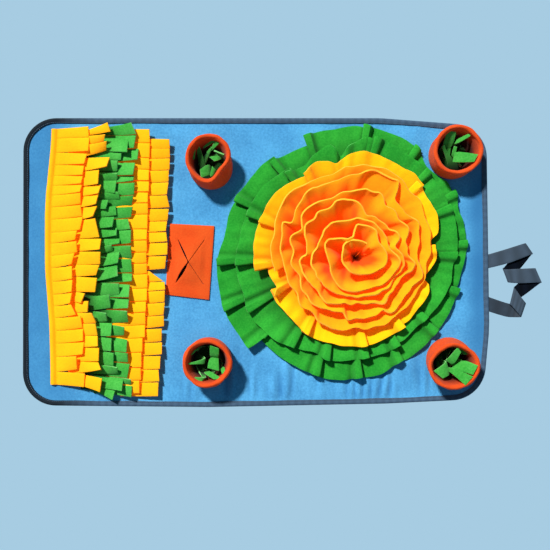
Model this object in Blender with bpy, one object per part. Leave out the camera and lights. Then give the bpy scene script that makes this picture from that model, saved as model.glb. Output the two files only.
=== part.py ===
"""Snuffle mat: a fleece panel with a bound edge, six rows of cut fringe, a slit pocket, four
treat cups with leaves in them, a large ruffled flower and a folded tie ribbon.

Metres, +Z up. The origin is the middle of the mat's underside, the fringe lies towards -X and
the tie towards +X. The sizes below are in millimetres, and MM turns them into metres.
"""

import math
from bisect import bisect_right

import bmesh
import bpy
from mathutils import Matrix, Vector

MM = 0.001

# ---------------------------------------------------------------- driving sizes (millimetres)
CLOTH = 1.6              # fleece of the sewn-on pieces
CLEAR = 0.4              # air between two pieces that touch
PANEL_TOP = 3.2          # the panel is this thick
SEWN_Z = PANEL_TOP + CLEAR + CLOTH / 2      # middle of a cloth that is sewn flat on the panel

# Outline of the mat, counter-clockwise: the right end is a little narrower.
OUTLINE = (
    # X, Y, corner radius
    (-401, -247, 57),
    (-80, -250, 200),
    (225, -244, 150),
    (392, -236, 60),
    (403, -115, 200),
    (398, 234, 58),
    (215, 248, 150),
    (-400, 248, 57),
)
ARC_STEP = math.radians(15)
RIGHT_END = 350          # the outline's points past this X make the mat's right edge

# Section of the edge tape, which folds around the panel's rim.
TAPE_SECTION = (
    # inset from the outline, height
    (0.8, 0.0), (0.0, 0.9), (0.0, 3.7), (0.8, 4.6), (10.6, 4.6), (11.0, 4.2),
    (11.0, 3.5), (1.2, 3.5), (1.2, 1.1), (11.0, 1.1), (11.0, 0.0),
)
PANEL_RIM = (
    # inset from the outline, height: the rim is pressed thinner inside the tape
    (14.0, 0.0), (12.2, 1.4), (1.5, 1.4), (1.5, PANEL_TOP), (14.0, PANEL_TOP),
)

# Fringe: each row is one cloth, sewn down between its hem and its slits, cut into strands.
FRINGE_ROWS = (
    # name, cloth, strands, (first Y, last Y), hem X down the row, slit X, tip X down the row,
    # slope, free length before the tips curl, curl height, tousle
    ("fringe_row_1", "yellow", 21, (229, -211), (-351, -358, -361, -355, -353), -337,
     (-287, -294, -299, -306, -313, -316, -304, -301, -290), 0.15, 60, 0, 0.4),
    ("fringe_row_2", "yellow", 21, (221, -210), (-323, -323), -315,
     (-254, -255, -268, -271, -265, -284, -278, -269, -264), 0.17, 40, 2, 0.6),
    ("fringe_row_3", "green", 23, (221, -219), (-301, -301), -293,
     (-231, -235, -236, -246, -237, -235, -241, -245, -234), 0.13, 36, 7, 1.0),
    ("fringe_row_4", "green", 22, (231, -226), (-279, -279), -271,
     (-205, -205, -208, -214, -211, -215, -221, -217, -211), 0.12, 32, 7, 1.0),
    ("fringe_row_5", "yellow", 21, (229, -226), (-257, -257), -249,
     (-181, -182, -184, -186, -187, -186, -188, -194, -199), 0.10, 50, 1, 0.5),
    ("fringe_row_6", "yellow", 21, (212, -231), (-233, -233), -225,
     (-148, -149, -151, -152, -154, -159, -161, -164, -168), 0.05, 55, 1, 0.4),
)
SHORT_STRAND = ("fringe_row_6", 11, -176)   # one strand of the last row is cut short, to this X
SLIT = 1.6               # width of the slit between two strands
SLIT_SPREAD = 0.10       # how far a slit strays from even spacing, as a share of it
HUMP = 2.4               # how far a strand rises right behind its slit
HUMP_REACH = 7.0
CURLED = 3               # rows that curl higher than this get a third face along each strand
CURL_BEND = 1.3          # how late along its free end a strand curls
CURL_SPREAD = 0.5        # unevenness of the curls, as a share of their height
CURL_TURNS = (-0.42, 0.7)   # in curled rows every other strand lies low, and the next one high
TIP_SPREAD = 3.0         # how far a tip strays along X, in a row of tousle 1
TIP_SHIFT = 0.5          # and along Y
TWIST_REACH = 1.5        # how far a twisted strand's two sides are apart along X at the tip
TWIST_RISE = 0.5         # and in height
TWIST_CURL = 0.3         # more of the same from the curl, as a share of its height
NARROWING = 0.12         # how much a curled tip narrows, as a share of the strand's width
MOST_NARROWING = 2.5

# Treat cups: soft tubs that lean, each with a rolled rim.
CUPS = (
    # name, base X, base Y, rim radius along X and Y, lean of the rim in X and Y, leaf turn
    ("cup_top_left", -76, 161, 39.5, 39.5, -2, 14, 10),
    ("cup_bottom_left", -80, -168, 42.5, 41.0, 0, -1, 75),
    ("cup_top_right", 337, 182, 42.0, 41.5, 1.5, 1, 130),
    ("cup_bottom_right", 332, -168, 43.5, 41.5, 1.5, -2, 200),
)
CUP_SECTION = (
    # share of the rim radius, height above the panel: out along the foot, up the wall, around
    # the rim and down the inside
    (0.0, 0.3), (0.84, 0.3), (0.90, 2.4), (0.93, 16.0), (0.95, 34.0), (0.985, 38.0),
    (1.0, 42.0), (0.98, 45.6), (0.91, 47.0), (0.83, 45.0), (0.80, 40.5), (0.85, 35.0),
    (0.84, 16.0), (0.82, 5.0), (0.76, 3.2), (0.0, 3.2),
)
CUP_SIDES = 18
CUP_FLOOR = PANEL_TOP + 3.2
LEAN_BEND = 1.2          # a cup leans more towards its rim
LEAVES = 7
LEAF_WIDTH = 13.0
LEAF_ROOM = 1.0          # half the least gap between two leaves
LEAF_PATH = (
    # distance from the cup's axis, height above the cup's floor
    (5.0, 0.0), (11.0, 0.0), (22.0, 4.0), (27.5, 18.0), (26.5, 33.0), (17.0, 42.0),
)
LEAF_PATH_REACH = 41.0   # rim radius that the path above is drawn for
LEAF_SPREAD = 5.0        # how far the tips differ in height and in distance
LEAF_INWARDS = 1.0
LEAF_TURN = 0.10         # how far a tip strays sideways, in radians

# Slit pocket: a flat square cloth with a cross cut in it, whose four flaps stand a little.
POCKET_CORNERS = ((-147, 66), (-71, 62), (-80, -65), (-155, -56))
POCKET_SLIT_ENDS = ((-133, 38), (-88, 38), (-90, -38), (-137, -35))
POCKET_CENTRE = (-115, 0)
POCKET_SLIT_LEAST = 1.8  # width of a closed slit
POCKET_SLIT_WIDTHS = (1.8, 1.8, 1.8, 8.0)
POCKET_SLIT_BEND = 0.9   # a gaping slit stays open up to this share of its length
POCKET_FLAP_RISE = (8.5, 8.0, 9.0, 9.5)
POCKET_FLAP_BULGE = 1.5
POCKET_LIFT = 0.6        # the cloth lies this much higher round the slits than at its edge
POCKET_MARGIN = 0.06     # share of each side that is left to the faces round its corners
POCKET_PAST_SLIT = 1.0   # the corner faces start this far past a slit's end
FLAP_COLUMNS = 3
FLAP_SHARES = (0.0, 0.40, 0.72, 0.93)       # rows of a flap, from the slits' ends to the middle

# Flower: three pleated tiers, one over the other, around one centre, and a spiral rose.
TIER_CENTRE = (153.5, 17.0)
PLEAT_RUNS = 3           # faces along the run of one pleat
PLEAT_UNDERCUT = 3.0     # how far the next pleat starts back under the fold at the free edge
PLEAT_LEAD = 2.0         # and how far ahead of the fold it starts at the sewn edge
PLEAT_SEWN = 1.2         # height of a pleat at the sewn edge
TIER_ROWS = 3
TIERS = (
    # name, cloth, sewn radius, height of the low fold at the free edge, pleat height, how much
    # a pleat starts short of its corner, (corner angle, corner radius) counter-clockwise
    ("leaf_tier_lower", "green", 140, 6.2, 9.0, 9,
     ((-176.6, 219), (-154, 231), (-135, 232), (-120.6, 209), (-99, 222), (-81.6, 217),
      (-63, 212), (-39.5, 210), (-16, 206), (4.8, 213), (28.7, 219), (56.3, 219),
      (81.4, 220), (109.2, 212), (131.7, 207), (156, 210))),
    ("leaf_tier_upper", "green", 118, 15.6, 7.4, 7,
     ((-171.5, 179), (-144, 171), (-120, 173), (-98.6, 185), (-77, 183), (-56.4, 179),
      (-43, 174), (-27.6, 183), (-1.5, 193), (24, 200), (42, 190), (74, 200), (90.5, 181),
      (110, 173), (133, 177), (159, 181))),
    ("petal_tier", "yellow", 98, 23.4, 8.0, 4,
     ((-169, 156), (-147.5, 141), (-113, 158), (-90.6, 160), (-77.4, 167), (-51.8, 165),
      (-38.7, 158), (-27.4, 158), (-4.5, 156), (13, 163), (25.6, 169), (45.8, 179),
      (75, 171), (87, 169), (103, 159), (130.7, 157), (157, 157), (179, 155))),
)

# Rose: one long strip, sewn on a spiral and flaring outwards. Radii run from the heart to the
# free edge in eight directions, turn by turn.
HEART = (171.0, 7.6)
ROSE_TURNS = (
    # height of the free edge, sewn radius, free radius at E, NE, N, NW, W, SW, S, SE
    (58, 5, (38, 30, 28, 31, 26, 25, 29, 38)),
    (57, 12, (50, 47, 54, 44, 50, 54, 57, 62)),
    (53, 28, (68, 61, 64, 72, 76, 72, 68, 72)),
    (48, 44, (80, 78, 90, 101, 92, 88, 83, 84)),
    (43, 59, (93, 97, 112, 117, 109, 106, 104, 105)),
    (37, 73, (106, 112, 133, 134, 125, 121, 119, 118)),
    (32, 85, (121, 138, 153, 155, 144, 137, 133, 127)),
)
TURN_CHANGE = 60.0       # degrees before E over which a turn widens into the next one
ROSE_END = 196.0         # degrees at which the last turn ends
ROSE_COLUMNS = 150       # faces along the strip
ROSE_ROWS = 4
FLARE = (0.40, 0.62)     # the section's control point: share of the way out, share of the rise
RUFFLE = 0.20            # how far the free edge waves, as a share of the room to the next turn
RUFFLE_ROOM = 18.0       # room that counts at most
RUFFLE_WAVES = (5.3, 8.7)   # the two waves' counts a turn
RUFFLE_SECOND = 0.6      # size of the second wave beside the first
CREST_WAVES = 4.7        # the free edge also rises and falls, this often a turn
CREST_SHARE = 0.3
LAST_GAP = 14.0          # room outside the last turn
ROSE_DENTS = (
    # turn, angle, half width in degrees, push in mm
    (2, 106, 15, -11), (2, 152, 12, 6), (3, 14, 13, -7), (4, 16, 12, -7), (4, 104, 13, 7),
    (4, 172, 12, -8), (5, 76, 14, 6), (5, 154, 10, -5), (6, 64, 12, 9), (6, 150, 12, -8),
    (7, 104, 12, -5),
)

# Tie: one ribbon, both ends sewn at the mat's right edge, folded to and fro where it lies.
RIBBON = 1.1
TIE_SECTIONS = (
    # X, Y of one edge, X, Y of the other edge, height: one row for each crease or bend
    (None, 12.5, None, -10.5, 2.4),
    (431, 22, 435, -2, 7.0),
    (459, 31, 471, 13, 13.8),
    (462, 31.5, 474, 12.5, 12.4),
    (460, 30, 472, 11, 11.0),
    (443, 9, 457, -10, 5.6),
    (429, -9, 438, -33, 2.0),
    (427, -10.5, 436, -35, 3.3),
    (429, -12, 438, -36, 4.6),
    (451, -11.5, 454, -36.5, 9.0),
    (476, -11, 486, -36, 13.4),
    (479, -12, 489, -37, 12.0),
    (477, -13.5, 487, -38.5, 10.6),
    (462, -29, 466, -56, 6.6),
    (449, -42, 442, -72, 4.2),
    (446, -43.5, 440, -74, 5.5),
    (448, -46, 441, -76, 6.8),
    (456, -59, 449, -84, 8.0),
    (462, -68, 455, -92, 8.4),
    (464, -71, 457, -94.5, 7.1),
    (462, -72, 454.5, -96, 5.8),
    (453, -72, 445, -95.5, 2.4),
    (436, -71, 431, -95, 1.8),
    (None, -61.5, None, -86, 1.8),
)

COLOURS = {
    # sRGB
    "fleece_blue": "5FB4E8", "fleece_yellow": "FBC519", "fleece_green": "35A83A",
    "fleece_orange": "F4592A", "felt_orange": "E8602C", "tape_grey": "52637A",
    "ribbon_grey": "46576A",
}


# ---------------------------------------------------------------- helpers
def clear_scene():
    for obj in list(bpy.data.objects):
        bpy.data.objects.remove(obj, do_unlink=True)


def cloth_material(name, roughness=0.95):
    """A matt cloth of the named colour."""
    known = bpy.data.materials.get(name)
    if known:
        return known
    material = bpy.data.materials.new(name)
    material.use_nodes = True
    bsdf = material.node_tree.nodes["Principled BSDF"]
    channels = [int(COLOURS[name][k:k + 2], 16) / 255 for k in (0, 2, 4)]
    linear = [((c + 0.055) / 1.055) ** 2.4 if c > 0.04 else c / 12.92 for c in channels]
    bsdf.inputs["Base Color"].default_value = (*linear, 1.0)
    bsdf.inputs["Roughness"].default_value = roughness
    bsdf.inputs["Metallic"].default_value = 0.0
    return material


def grid(columns, rows, place, keep=None):
    """A grid of faces. place(column, row) gives each point in millimetres, keep(column, row)
    tells which faces stay, and points that meet, as at a closed seam, are welded."""
    bm = bmesh.new()
    bmesh.ops.create_grid(bm, x_segments=columns, y_segments=rows, size=1.0)
    if keep:
        spare = []
        for face in bm.faces:
            middle = face.calc_center_median()
            column = int((middle.x + 1) / 2 * columns)
            row = int((middle.y + 1) / 2 * rows)
            if not keep(column, row):
                spare.append(face)
        bmesh.ops.delete(bm, geom=spare, context="FACES")
    for vert in bm.verts:
        column = round((vert.co.x + 1) / 2 * columns)
        row = round((vert.co.y + 1) / 2 * rows)
        vert.co = Vector(place(column, row)) * MM
    bmesh.ops.remove_doubles(bm, verts=bm.verts, dist=1e-6)
    return bm


def piece(name, bm, material, thickness=None):
    """Turn a mesh into a named object. A thickness makes a sheet of it with Solidify, whose two
    sides then bend along the same triangles."""
    bmesh.ops.recalc_face_normals(bm, faces=bm.faces)
    if thickness:
        bmesh.ops.triangulate(bm, faces=bm.faces, quad_method="SHORT_EDGE")
    mesh = bpy.data.meshes.new(name)
    bm.to_mesh(mesh)
    bm.free()
    mesh.materials.append(cloth_material(material))
    mesh.shade_smooth()
    mesh.set_sharp_from_angle(angle=math.radians(40))
    obj = bpy.data.objects.new(name, mesh)
    bpy.context.collection.objects.link(obj)
    if thickness:
        solidify = obj.modifiers.new("thickness", "SOLIDIFY")
        solidify.thickness = thickness * MM
        solidify.offset = 0.0
        solidify.solidify_mode = "NON_MANIFOLD"
        solidify.nonmanifold_thickness_mode = "CONSTRAINTS"
    return obj


def mix(start, end, share):
    return start + (end - start) * share


def along(values, share):
    """The value at a share (0 to 1) of the way along evenly spaced values."""
    place = min(max(share, 0.0), 1.0) * (len(values) - 1)
    index = min(int(place), len(values) - 2)
    return mix(values[index], values[index + 1], place - index)


def smooth(share):
    share = min(max(share, 0.0), 1.0)
    return share * share * (3 - 2 * share)


def sway(number, seed):
    """An uneven but repeatable value from -1 to 1."""
    return math.sin(number * 12.9898 + seed * 4.1414 + 1.7) * math.cos(number * 7.233 + seed * 2.3)


# ---------------------------------------------------------------- mat
def rounded_outline():
    """Points around the mat, counter-clockwise, with an arc at each corner."""
    points = []
    for k, (x, y, radius) in enumerate(OUTLINE):
        corner = Vector((x, y))
        back = (Vector(OUTLINE[k - 1][:2]) - corner).normalized()
        ahead = (Vector(OUTLINE[(k + 1) % len(OUTLINE)][:2]) - corner).normalized()
        half = back.angle(ahead) / 2
        centre = corner + (back + ahead).normalized() * radius / math.sin(half)
        spoke = corner + back * radius / math.tan(half) - centre
        turn = math.pi - 2 * half
        steps = max(1, round(turn / ARC_STEP))
        for step in range(steps + 1):
            points.append(centre + Matrix.Rotation(turn * step / steps, 2) @ spoke)
    return points


def inset_point(points, index, inset):
    """A point of the outline moved inwards, square to the edge."""
    count = len(points)
    ahead = points[(index + 1) % count] - points[(index - 1) % count]
    inwards = Vector((-ahead.y, ahead.x)).normalized()
    return points[index % count] + inwards * inset


def edge_x(points, y):
    """X of the mat's right edge at a given Y."""
    right = sorted((p.y, p.x) for p in points if p.x > RIGHT_END)
    k = min(max(bisect_right(right, (y, 0.0)), 1), len(right) - 1)
    (y0, x0), (y1, x1) = right[k - 1], right[k]
    return mix(x0, x1, (y - y0) / (y1 - y0))


def make_panel(outline):
    def place(column, row):
        inset, height = PANEL_RIM[row]
        spot = inset_point(outline, column, inset)
        return spot.x, spot.y, height

    bm = grid(len(outline), len(PANEL_RIM) - 1, place)
    rims = [edge for edge in bm.edges if edge.is_boundary]
    bmesh.ops.holes_fill(bm, edges=rims, sides=len(outline))
    piece("mat_panel", bm, "fleece_blue")


def make_tape(outline):
    def place(column, row):
        inset, height = TAPE_SECTION[row % len(TAPE_SECTION)]
        spot = inset_point(outline, column, inset)
        return spot.x, spot.y, height

    piece("edge_tape", grid(len(outline), len(TAPE_SECTION), place), "tape_grey")


# ---------------------------------------------------------------- fringe
def make_fringe(row_number, spec):
    """One row: a sewn strip whose outer part is slit into strands that rise over the next row."""
    name, cloth, strands, (first_y, last_y), hem, slit_x, tips, slope, free, curl, tousle = spec
    lengthwise = 3 if curl > CURLED else 2
    pitch = (first_y - last_y) / strands
    cuts = [first_y - pitch * k for k in range(strands + 1)]
    for k in range(1, strands):
        cuts[k] += pitch * SLIT_SPREAD * sway(k, row_number)

    def tip_of(strand):
        if (name, strand) == SHORT_STRAND[:2]:
            return SHORT_STRAND[2]
        stray = TIP_SPREAD * tousle * sway(strand, row_number + 9)
        return along(tips, (strand + 0.5) / strands) + stray

    def place(column, row):
        strand, side = divmod(column, 2)
        sign = 1 if side == 0 else -1
        y = cuts[strand + side] - sign * SLIT / 2
        if column in (0, 2 * strands - 1):
            y = cuts[strand + side]
        if row == 0:
            return along(hem, (first_y - y) / (first_y - last_y)), y, SEWN_Z
        if row == 1:
            return slit_x, y, SEWN_Z
        share = (row - 1) / lengthwise
        length = tip_of(strand) - slit_x
        run = length * share
        rise = HUMP * (1 - math.exp(-run / HUMP_REACH)) + slope * run
        loose = max(0.0, (run - free) / max(length - free, 1.0)) if length > free else 0.0
        height = 1.0 + CURL_SPREAD * sway(strand, row_number + 3)
        if curl > CURLED:
            height += CURL_TURNS[strand % 2]
        rise += curl * height * loose ** CURL_BEND
        twist = sway(strand, row_number + 5) * tousle * sign
        rise += twist * (TWIST_RISE * share + TWIST_CURL * curl * loose)
        narrow = min(NARROWING * pitch * tousle * loose, MOST_NARROWING)
        x = slit_x + run + twist * TWIST_REACH * share
        y += -sign * narrow + sway(strand, row_number + 7) * TIP_SHIFT * share
        return x, y, SEWN_Z + rise

    def keep(column, row):
        return row == 0 or column % 2 == 0

    bm = grid(2 * strands - 1, lengthwise + 1, place, keep)
    piece(name, bm, "fleece_" + cloth, CLOTH)


# ---------------------------------------------------------------- cups
def make_cup(name, x, y, reach_x, reach_y, lean_x, lean_y):
    """A soft tub with a thick rolled rim, turned about its axis, then made oval and leaning."""
    bm = bmesh.new()
    chain = [bm.verts.new((share, 0, height)) for share, height in CUP_SECTION]
    for lower, upper in zip(chain, chain[1:]):
        bm.edges.new((lower, upper))
    bmesh.ops.spin(bm, geom=bm.verts[:] + bm.edges[:], axis=(0, 0, 1), cent=(0, 0, 0),
                   angle=math.tau, steps=CUP_SIDES, use_merge=True)
    bmesh.ops.remove_doubles(bm, verts=bm.verts, dist=1e-5)
    rim = max(height for _, height in CUP_SECTION)
    for vert in bm.verts:
        lean = (vert.co.z / rim) ** LEAN_BEND
        vert.co.x = (vert.co.x * reach_x + lean_x * lean) * MM
        vert.co.y = (vert.co.y * reach_y + lean_y * lean) * MM
        vert.co.z *= MM
    cup = piece(name, bm, "felt_orange")
    cup.location = (x * MM, y * MM, PANEL_TOP * MM)


def make_leaves(name, x, y, reach, lean_x, lean_y, turn):
    """A slit strip curled into a small ring on the cup's floor, its leaves along the wall."""
    rim = max(height for _, height in CUP_SECTION)

    def place(column, row):
        leaf, side = divmod(column % (2 * LEAVES), 2)
        distance, height = LEAF_PATH[row]
        distance *= reach / LEAF_PATH_REACH
        middle = math.radians(turn) + math.tau * leaf / LEAVES
        loose = max(0, row - 2) / (len(LEAF_PATH) - 3)
        height += LEAF_SPREAD * sway(leaf, turn) * loose
        distance += LEAF_SPREAD * sway(leaf, turn + 2) * loose ** 2 - LEAF_INWARDS * loose
        half = min(LEAF_WIDTH / 2, distance * math.pi / LEAVES - LEAF_ROOM) / distance
        angle = middle + (-half if side == 0 else half) + LEAF_TURN * sway(leaf, turn + 4) * loose
        lean = (max(height, 0.0) / rim) ** LEAN_BEND
        return (distance * math.cos(angle) + lean_x * lean,
                distance * math.sin(angle) + lean_y * lean,
                height)

    def keep(column, row):
        return row == 0 or column % 2 == 0

    bm = grid(2 * LEAVES, len(LEAF_PATH) - 1, place, keep)
    leaves = piece(name, bm, "fleece_green", CLOTH)
    leaves.location = (x * MM, y * MM, (CUP_FLOOR + CLEAR + CLOTH / 2) * MM)


# ---------------------------------------------------------------- pocket
def make_pocket():
    """A flat patch with a cross cut: four flaps that rise towards the middle of the cross."""
    corners = [Vector(c) for c in POCKET_CORNERS]
    ends = [Vector(e) for e in POCKET_SLIT_ENDS]
    centre = Vector(POCKET_CENTRE)
    per_flap = FLAP_COLUMNS + 2          # the two extra faces turn the corner past the slit

    def slit_side(slit, share, side):
        """A point on one side of a slit, where the slit opens most past its middle."""
        across = (centre - ends[slit]).normalized().orthogonal()
        gape = math.sin(math.pi * min(share, POCKET_SLIT_BEND))
        opening = mix(POCKET_SLIT_LEAST, POCKET_SLIT_WIDTHS[slit], gape)
        return ends[slit].lerp(centre, share) + across * side * opening / 2

    def place(column, row):
        flap, step = divmod(column % (4 * per_flap), per_flap)
        after = (flap + 1) % 4
        at_corner = step == per_flap - 1
        if row == 0:
            if at_corner:
                spot = corners[after]
            else:
                side = mix(POCKET_MARGIN, 1 - POCKET_MARGIN, step / FLAP_COLUMNS)
                spot = corners[flap].lerp(corners[after], side)
            return spot.x, spot.y, SEWN_Z
        share = FLAP_SHARES[row - 1]
        if at_corner:
            outwards = (ends[after] - centre).normalized()
            spot = ends[after] + outwards * POCKET_PAST_SLIT
            return spot.x, spot.y, SEWN_Z + POCKET_LIFT
        left = slit_side(flap, share, 1)
        right = slit_side(after, share, -1)
        spot = left.lerp(right, step / FLAP_COLUMNS)
        bulge = math.sin(math.pi * step / FLAP_COLUMNS) * (1 - share) * POCKET_FLAP_BULGE
        rise = POCKET_LIFT + POCKET_FLAP_RISE[flap] * share + bulge
        return spot.x, spot.y, SEWN_Z + rise

    def keep(column, row):
        return row == 0 or column % per_flap < FLAP_COLUMNS

    bm = grid(4 * per_flap, len(FLAP_SHARES), place, keep)
    piece("slit_pocket", bm, "fleece_orange", CLOTH)


# ---------------------------------------------------------------- flower
def make_tier(spec):
    """A ring of knife pleats: each one rises to its corner, folds back and starts again low."""
    name, cloth, sewn, low_end, height_end, short, corners = spec
    per_pleat = PLEAT_RUNS + 1
    centre = Vector(TIER_CENTRE)

    def free_spot(pleat, run):
        """Where the free edge is, on a straight line from a pleat's start to its corner."""
        (angle0, radius0), (angle1, radius1) = corners[pleat - 1], corners[pleat]
        start = Matrix.Rotation(math.radians(angle0), 2) @ Vector((radius0 - short, 0))
        end = Matrix.Rotation(math.radians(angle1), 2) @ Vector((radius1, 0))
        return start.lerp(end, run)

    def place(column, row):
        pleat, step = divmod(column % (per_pleat * len(corners)), per_pleat)
        run = step / PLEAT_RUNS
        out = row / TIER_ROWS
        free = free_spot(pleat, run)
        radius = mix(sewn, free.length, out)
        angle = math.atan2(free.y, free.x)
        if step == 0:
            angle += mix(PLEAT_LEAD, -PLEAT_UNDERCUT, out) / radius
        height = mix(PLEAT_SEWN, height_end, out) * run
        return (centre.x + radius * math.cos(angle), centre.y + radius * math.sin(angle),
                mix(SEWN_Z, low_end, out) + height)

    bm = grid(per_pleat * len(corners), TIER_ROWS, place)
    piece(name, bm, "fleece_" + cloth, CLOTH)


def compass(radii, degrees):
    """A smooth closed curve through eight radii, one every 45 degrees."""
    place = (degrees % 360) / 45
    k = int(place)
    t = place - k
    p0, p1, p2, p3 = (radii[(k + shift) % 8] for shift in (-1, 0, 1, 2))
    return p1 + 0.5 * t * (p2 - p0 + t * (2 * p0 - 5 * p1 + 4 * p2 - p3
                                          + t * (3 * (p1 - p2) + p3 - p0)))


def rose_turn(degrees):
    """The turn at an angle along the spiral, as a number that slides over just before E."""
    turn, angle = divmod(degrees, 360)
    return turn + smooth((angle - 360 + TURN_CHANGE) / TURN_CHANGE)


def rose_edges(degrees):
    """The sewn point and the free point of the strip at an angle along the spiral."""
    spot = rose_turn(degrees)
    turn = min(int(spot), len(ROSE_TURNS) - 1)
    after = min(turn + 1, len(ROSE_TURNS) - 1)
    share = spot - int(spot)
    top = mix(ROSE_TURNS[turn][0], ROSE_TURNS[after][0], share)
    free = mix(compass(ROSE_TURNS[turn][2], degrees), compass(ROSE_TURNS[after][2], degrees), share)
    for dent_turn, angle, half_width, push in ROSE_DENTS:
        away = degrees - 360 * (dent_turn - 1) - angle % 360
        if abs(away) < half_width:
            free += push * math.cos(math.pi / 2 * away / half_width) ** 2
    room = LAST_GAP
    if after > turn:
        room = compass(ROSE_TURNS[after][2], degrees) - compass(ROSE_TURNS[turn][2], degrees)
    wave = math.radians(degrees)
    ruffle = RUFFLE * min(room, RUFFLE_ROOM)
    first, second = RUFFLE_WAVES
    free += ruffle * (math.sin(first * wave) + RUFFLE_SECOND * math.sin(second * wave + 1.0))
    top += CREST_SHARE * ruffle * math.sin(CREST_WAVES * wave + 0.5)
    inner = degrees / 360
    sewn = mix(ROSE_TURNS[turn][1], ROSE_TURNS[after][1], share)
    sewn_centre = Vector(HEART).lerp(Vector(TIER_CENTRE), min(inner / len(ROSE_TURNS), 1.0))
    heading = Vector((math.cos(wave), math.sin(wave)))
    start = sewn_centre + heading * sewn
    end = Vector(HEART) + heading * free
    return Vector((start.x, start.y, SEWN_Z)), Vector((end.x, end.y, top))


def make_rose():
    """The strip's section bends outwards from the sewn edge to the free edge."""
    length = 360 * (len(ROSE_TURNS) - 1) + ROSE_END

    def place(column, row):
        start, end = rose_edges(length * column / ROSE_COLUMNS)
        flat, rise = FLARE
        bend = Vector((mix(start.x, end.x, flat), mix(start.y, end.y, flat),
                       mix(start.z, end.z, rise)))
        out = row / ROSE_ROWS
        return start.lerp(bend, out).lerp(bend.lerp(end, out), out)

    piece("rose_spiral", grid(ROSE_COLUMNS, ROSE_ROWS, place), "fleece_yellow", CLOTH)


# ---------------------------------------------------------------- tie
def make_tie(outline):
    """The ribbon, as a strip of faces between its creases and bends."""
    def place(column, row):
        x0, y0, x1, y1, z = TIE_SECTIONS[column]
        if x0 is None:
            x0 = edge_x(outline, y0) + CLEAR
            x1 = edge_x(outline, y1) + CLEAR
        return mix(x0, x1, row / 2), mix(y0, y1, row / 2), z

    piece("tie_ribbon", grid(len(TIE_SECTIONS) - 1, 2, place), "ribbon_grey", RIBBON)


def main():
    clear_scene()
    outline = rounded_outline()
    make_panel(outline)
    make_tape(outline)
    for number, spec in enumerate(FRINGE_ROWS):
        make_fringe(number, spec)
    for name, x, y, reach_x, reach_y, lean_x, lean_y, turn in CUPS:
        make_cup(name, x, y, reach_x, reach_y, lean_x, lean_y)
        make_leaves(name.replace("cup", "leaves"), x, y, min(reach_x, reach_y), lean_x, lean_y,
                    turn)
    make_pocket()
    for spec in TIERS:
        make_tier(spec)
    make_rose()
    make_tie(outline)


main()
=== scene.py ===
# %% [markdown]
# # A snuffle mat, dressed for its picture
# The real thing is a fleece mat with a bound edge. Food is hidden in what is sewn on it: six rows
# of cut fringe, a pocket with a crossed slit, four soft tubs with leaves in them, and a big
# flower of three pleated frills round a rolled rose. A ribbon to tie the rolled mat hangs at the
# right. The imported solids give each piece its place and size. Here each one gets its cloth.

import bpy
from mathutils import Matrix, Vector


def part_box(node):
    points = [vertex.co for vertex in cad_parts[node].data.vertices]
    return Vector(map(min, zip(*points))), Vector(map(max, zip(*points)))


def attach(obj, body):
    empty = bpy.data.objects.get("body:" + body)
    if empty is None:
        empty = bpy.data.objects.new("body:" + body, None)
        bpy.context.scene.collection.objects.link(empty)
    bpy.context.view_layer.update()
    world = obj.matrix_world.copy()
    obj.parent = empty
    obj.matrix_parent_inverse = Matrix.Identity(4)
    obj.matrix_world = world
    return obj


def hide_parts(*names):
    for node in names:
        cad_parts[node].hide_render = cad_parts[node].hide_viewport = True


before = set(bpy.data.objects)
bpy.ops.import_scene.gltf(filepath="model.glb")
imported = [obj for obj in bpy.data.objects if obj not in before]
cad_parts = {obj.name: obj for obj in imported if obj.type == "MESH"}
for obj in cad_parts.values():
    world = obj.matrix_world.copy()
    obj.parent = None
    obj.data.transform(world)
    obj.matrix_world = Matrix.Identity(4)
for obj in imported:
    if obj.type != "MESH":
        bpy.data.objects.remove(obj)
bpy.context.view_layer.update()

# %% What the script works with
import math
from bisect import bisect_right

import bmesh
import bpy
from mathutils import Matrix, Vector, noise

MM = 0.001               # sizes are written in millimetres and turned to metres by this
CLEAR = 0.4              # air between two cloths that touch
PANEL_TOP = 3.2          # top of the mat's own fleece
FLEECE = 2.2             # thickness of the sewn-on fleece
SEWN_Z = 4.4             # middle of a cloth that is sewn flat on the mat


def mix(start, end, share):
    return start + (end - start) * share


def smooth(share):
    share = min(max(share, 0.0), 1.0)
    return share * share * (3 - 2 * share)


def sway(number, seed):
    """An uneven but repeatable value from -1 to 1. Its odd factors only scatter it."""
    return math.sin(number * 12.9898 + seed * 4.1414 + 1.7) * math.cos(number * 7.233 + seed * 2.3)


def swell(x, y, size, seed=0.0):
    """A soft unevenness from about -1 to 1, whose bumps are some size (mm) across."""
    return noise.noise(Vector((x / size, y / size, seed)))


def through(points, at):
    """A smooth curve through (place, value) points, read at a place."""
    last = len(points) - 1
    k = min(max(bisect_right(points, (at, math.inf)) - 1, 0), last - 1)

    def steepness(i):
        if i <= 0 or i >= last:
            return 0.0
        before = (points[i][1] - points[i - 1][1]) / (points[i][0] - points[i - 1][0])
        after = (points[i + 1][1] - points[i][1]) / (points[i + 1][0] - points[i][0])
        return 0.0 if before * after <= 0 else 2 * before * after / (before + after)

    span = points[k + 1][0] - points[k][0]
    t = min(max((at - points[k][0]) / span, 0.0), 1.0)
    rise = points[k + 1][1] - points[k][1]
    bend = steepness(k) * span * t * (1 - t) ** 2 - steepness(k + 1) * span * t * t * (1 - t)
    return points[k][1] + rise * smooth(t) + bend


def curve(p0, p1, p2, p3, t):
    """A smooth run from p1 to p2 that heads as its neighbours p0 and p3 do."""
    return p1 + 0.5 * t * (p2 - p0 + t * (2 * p0 - 5 * p1 + 4 * p2 - p3
                                          + t * (3 * (p1 - p2) + p3 - p0)))


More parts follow.
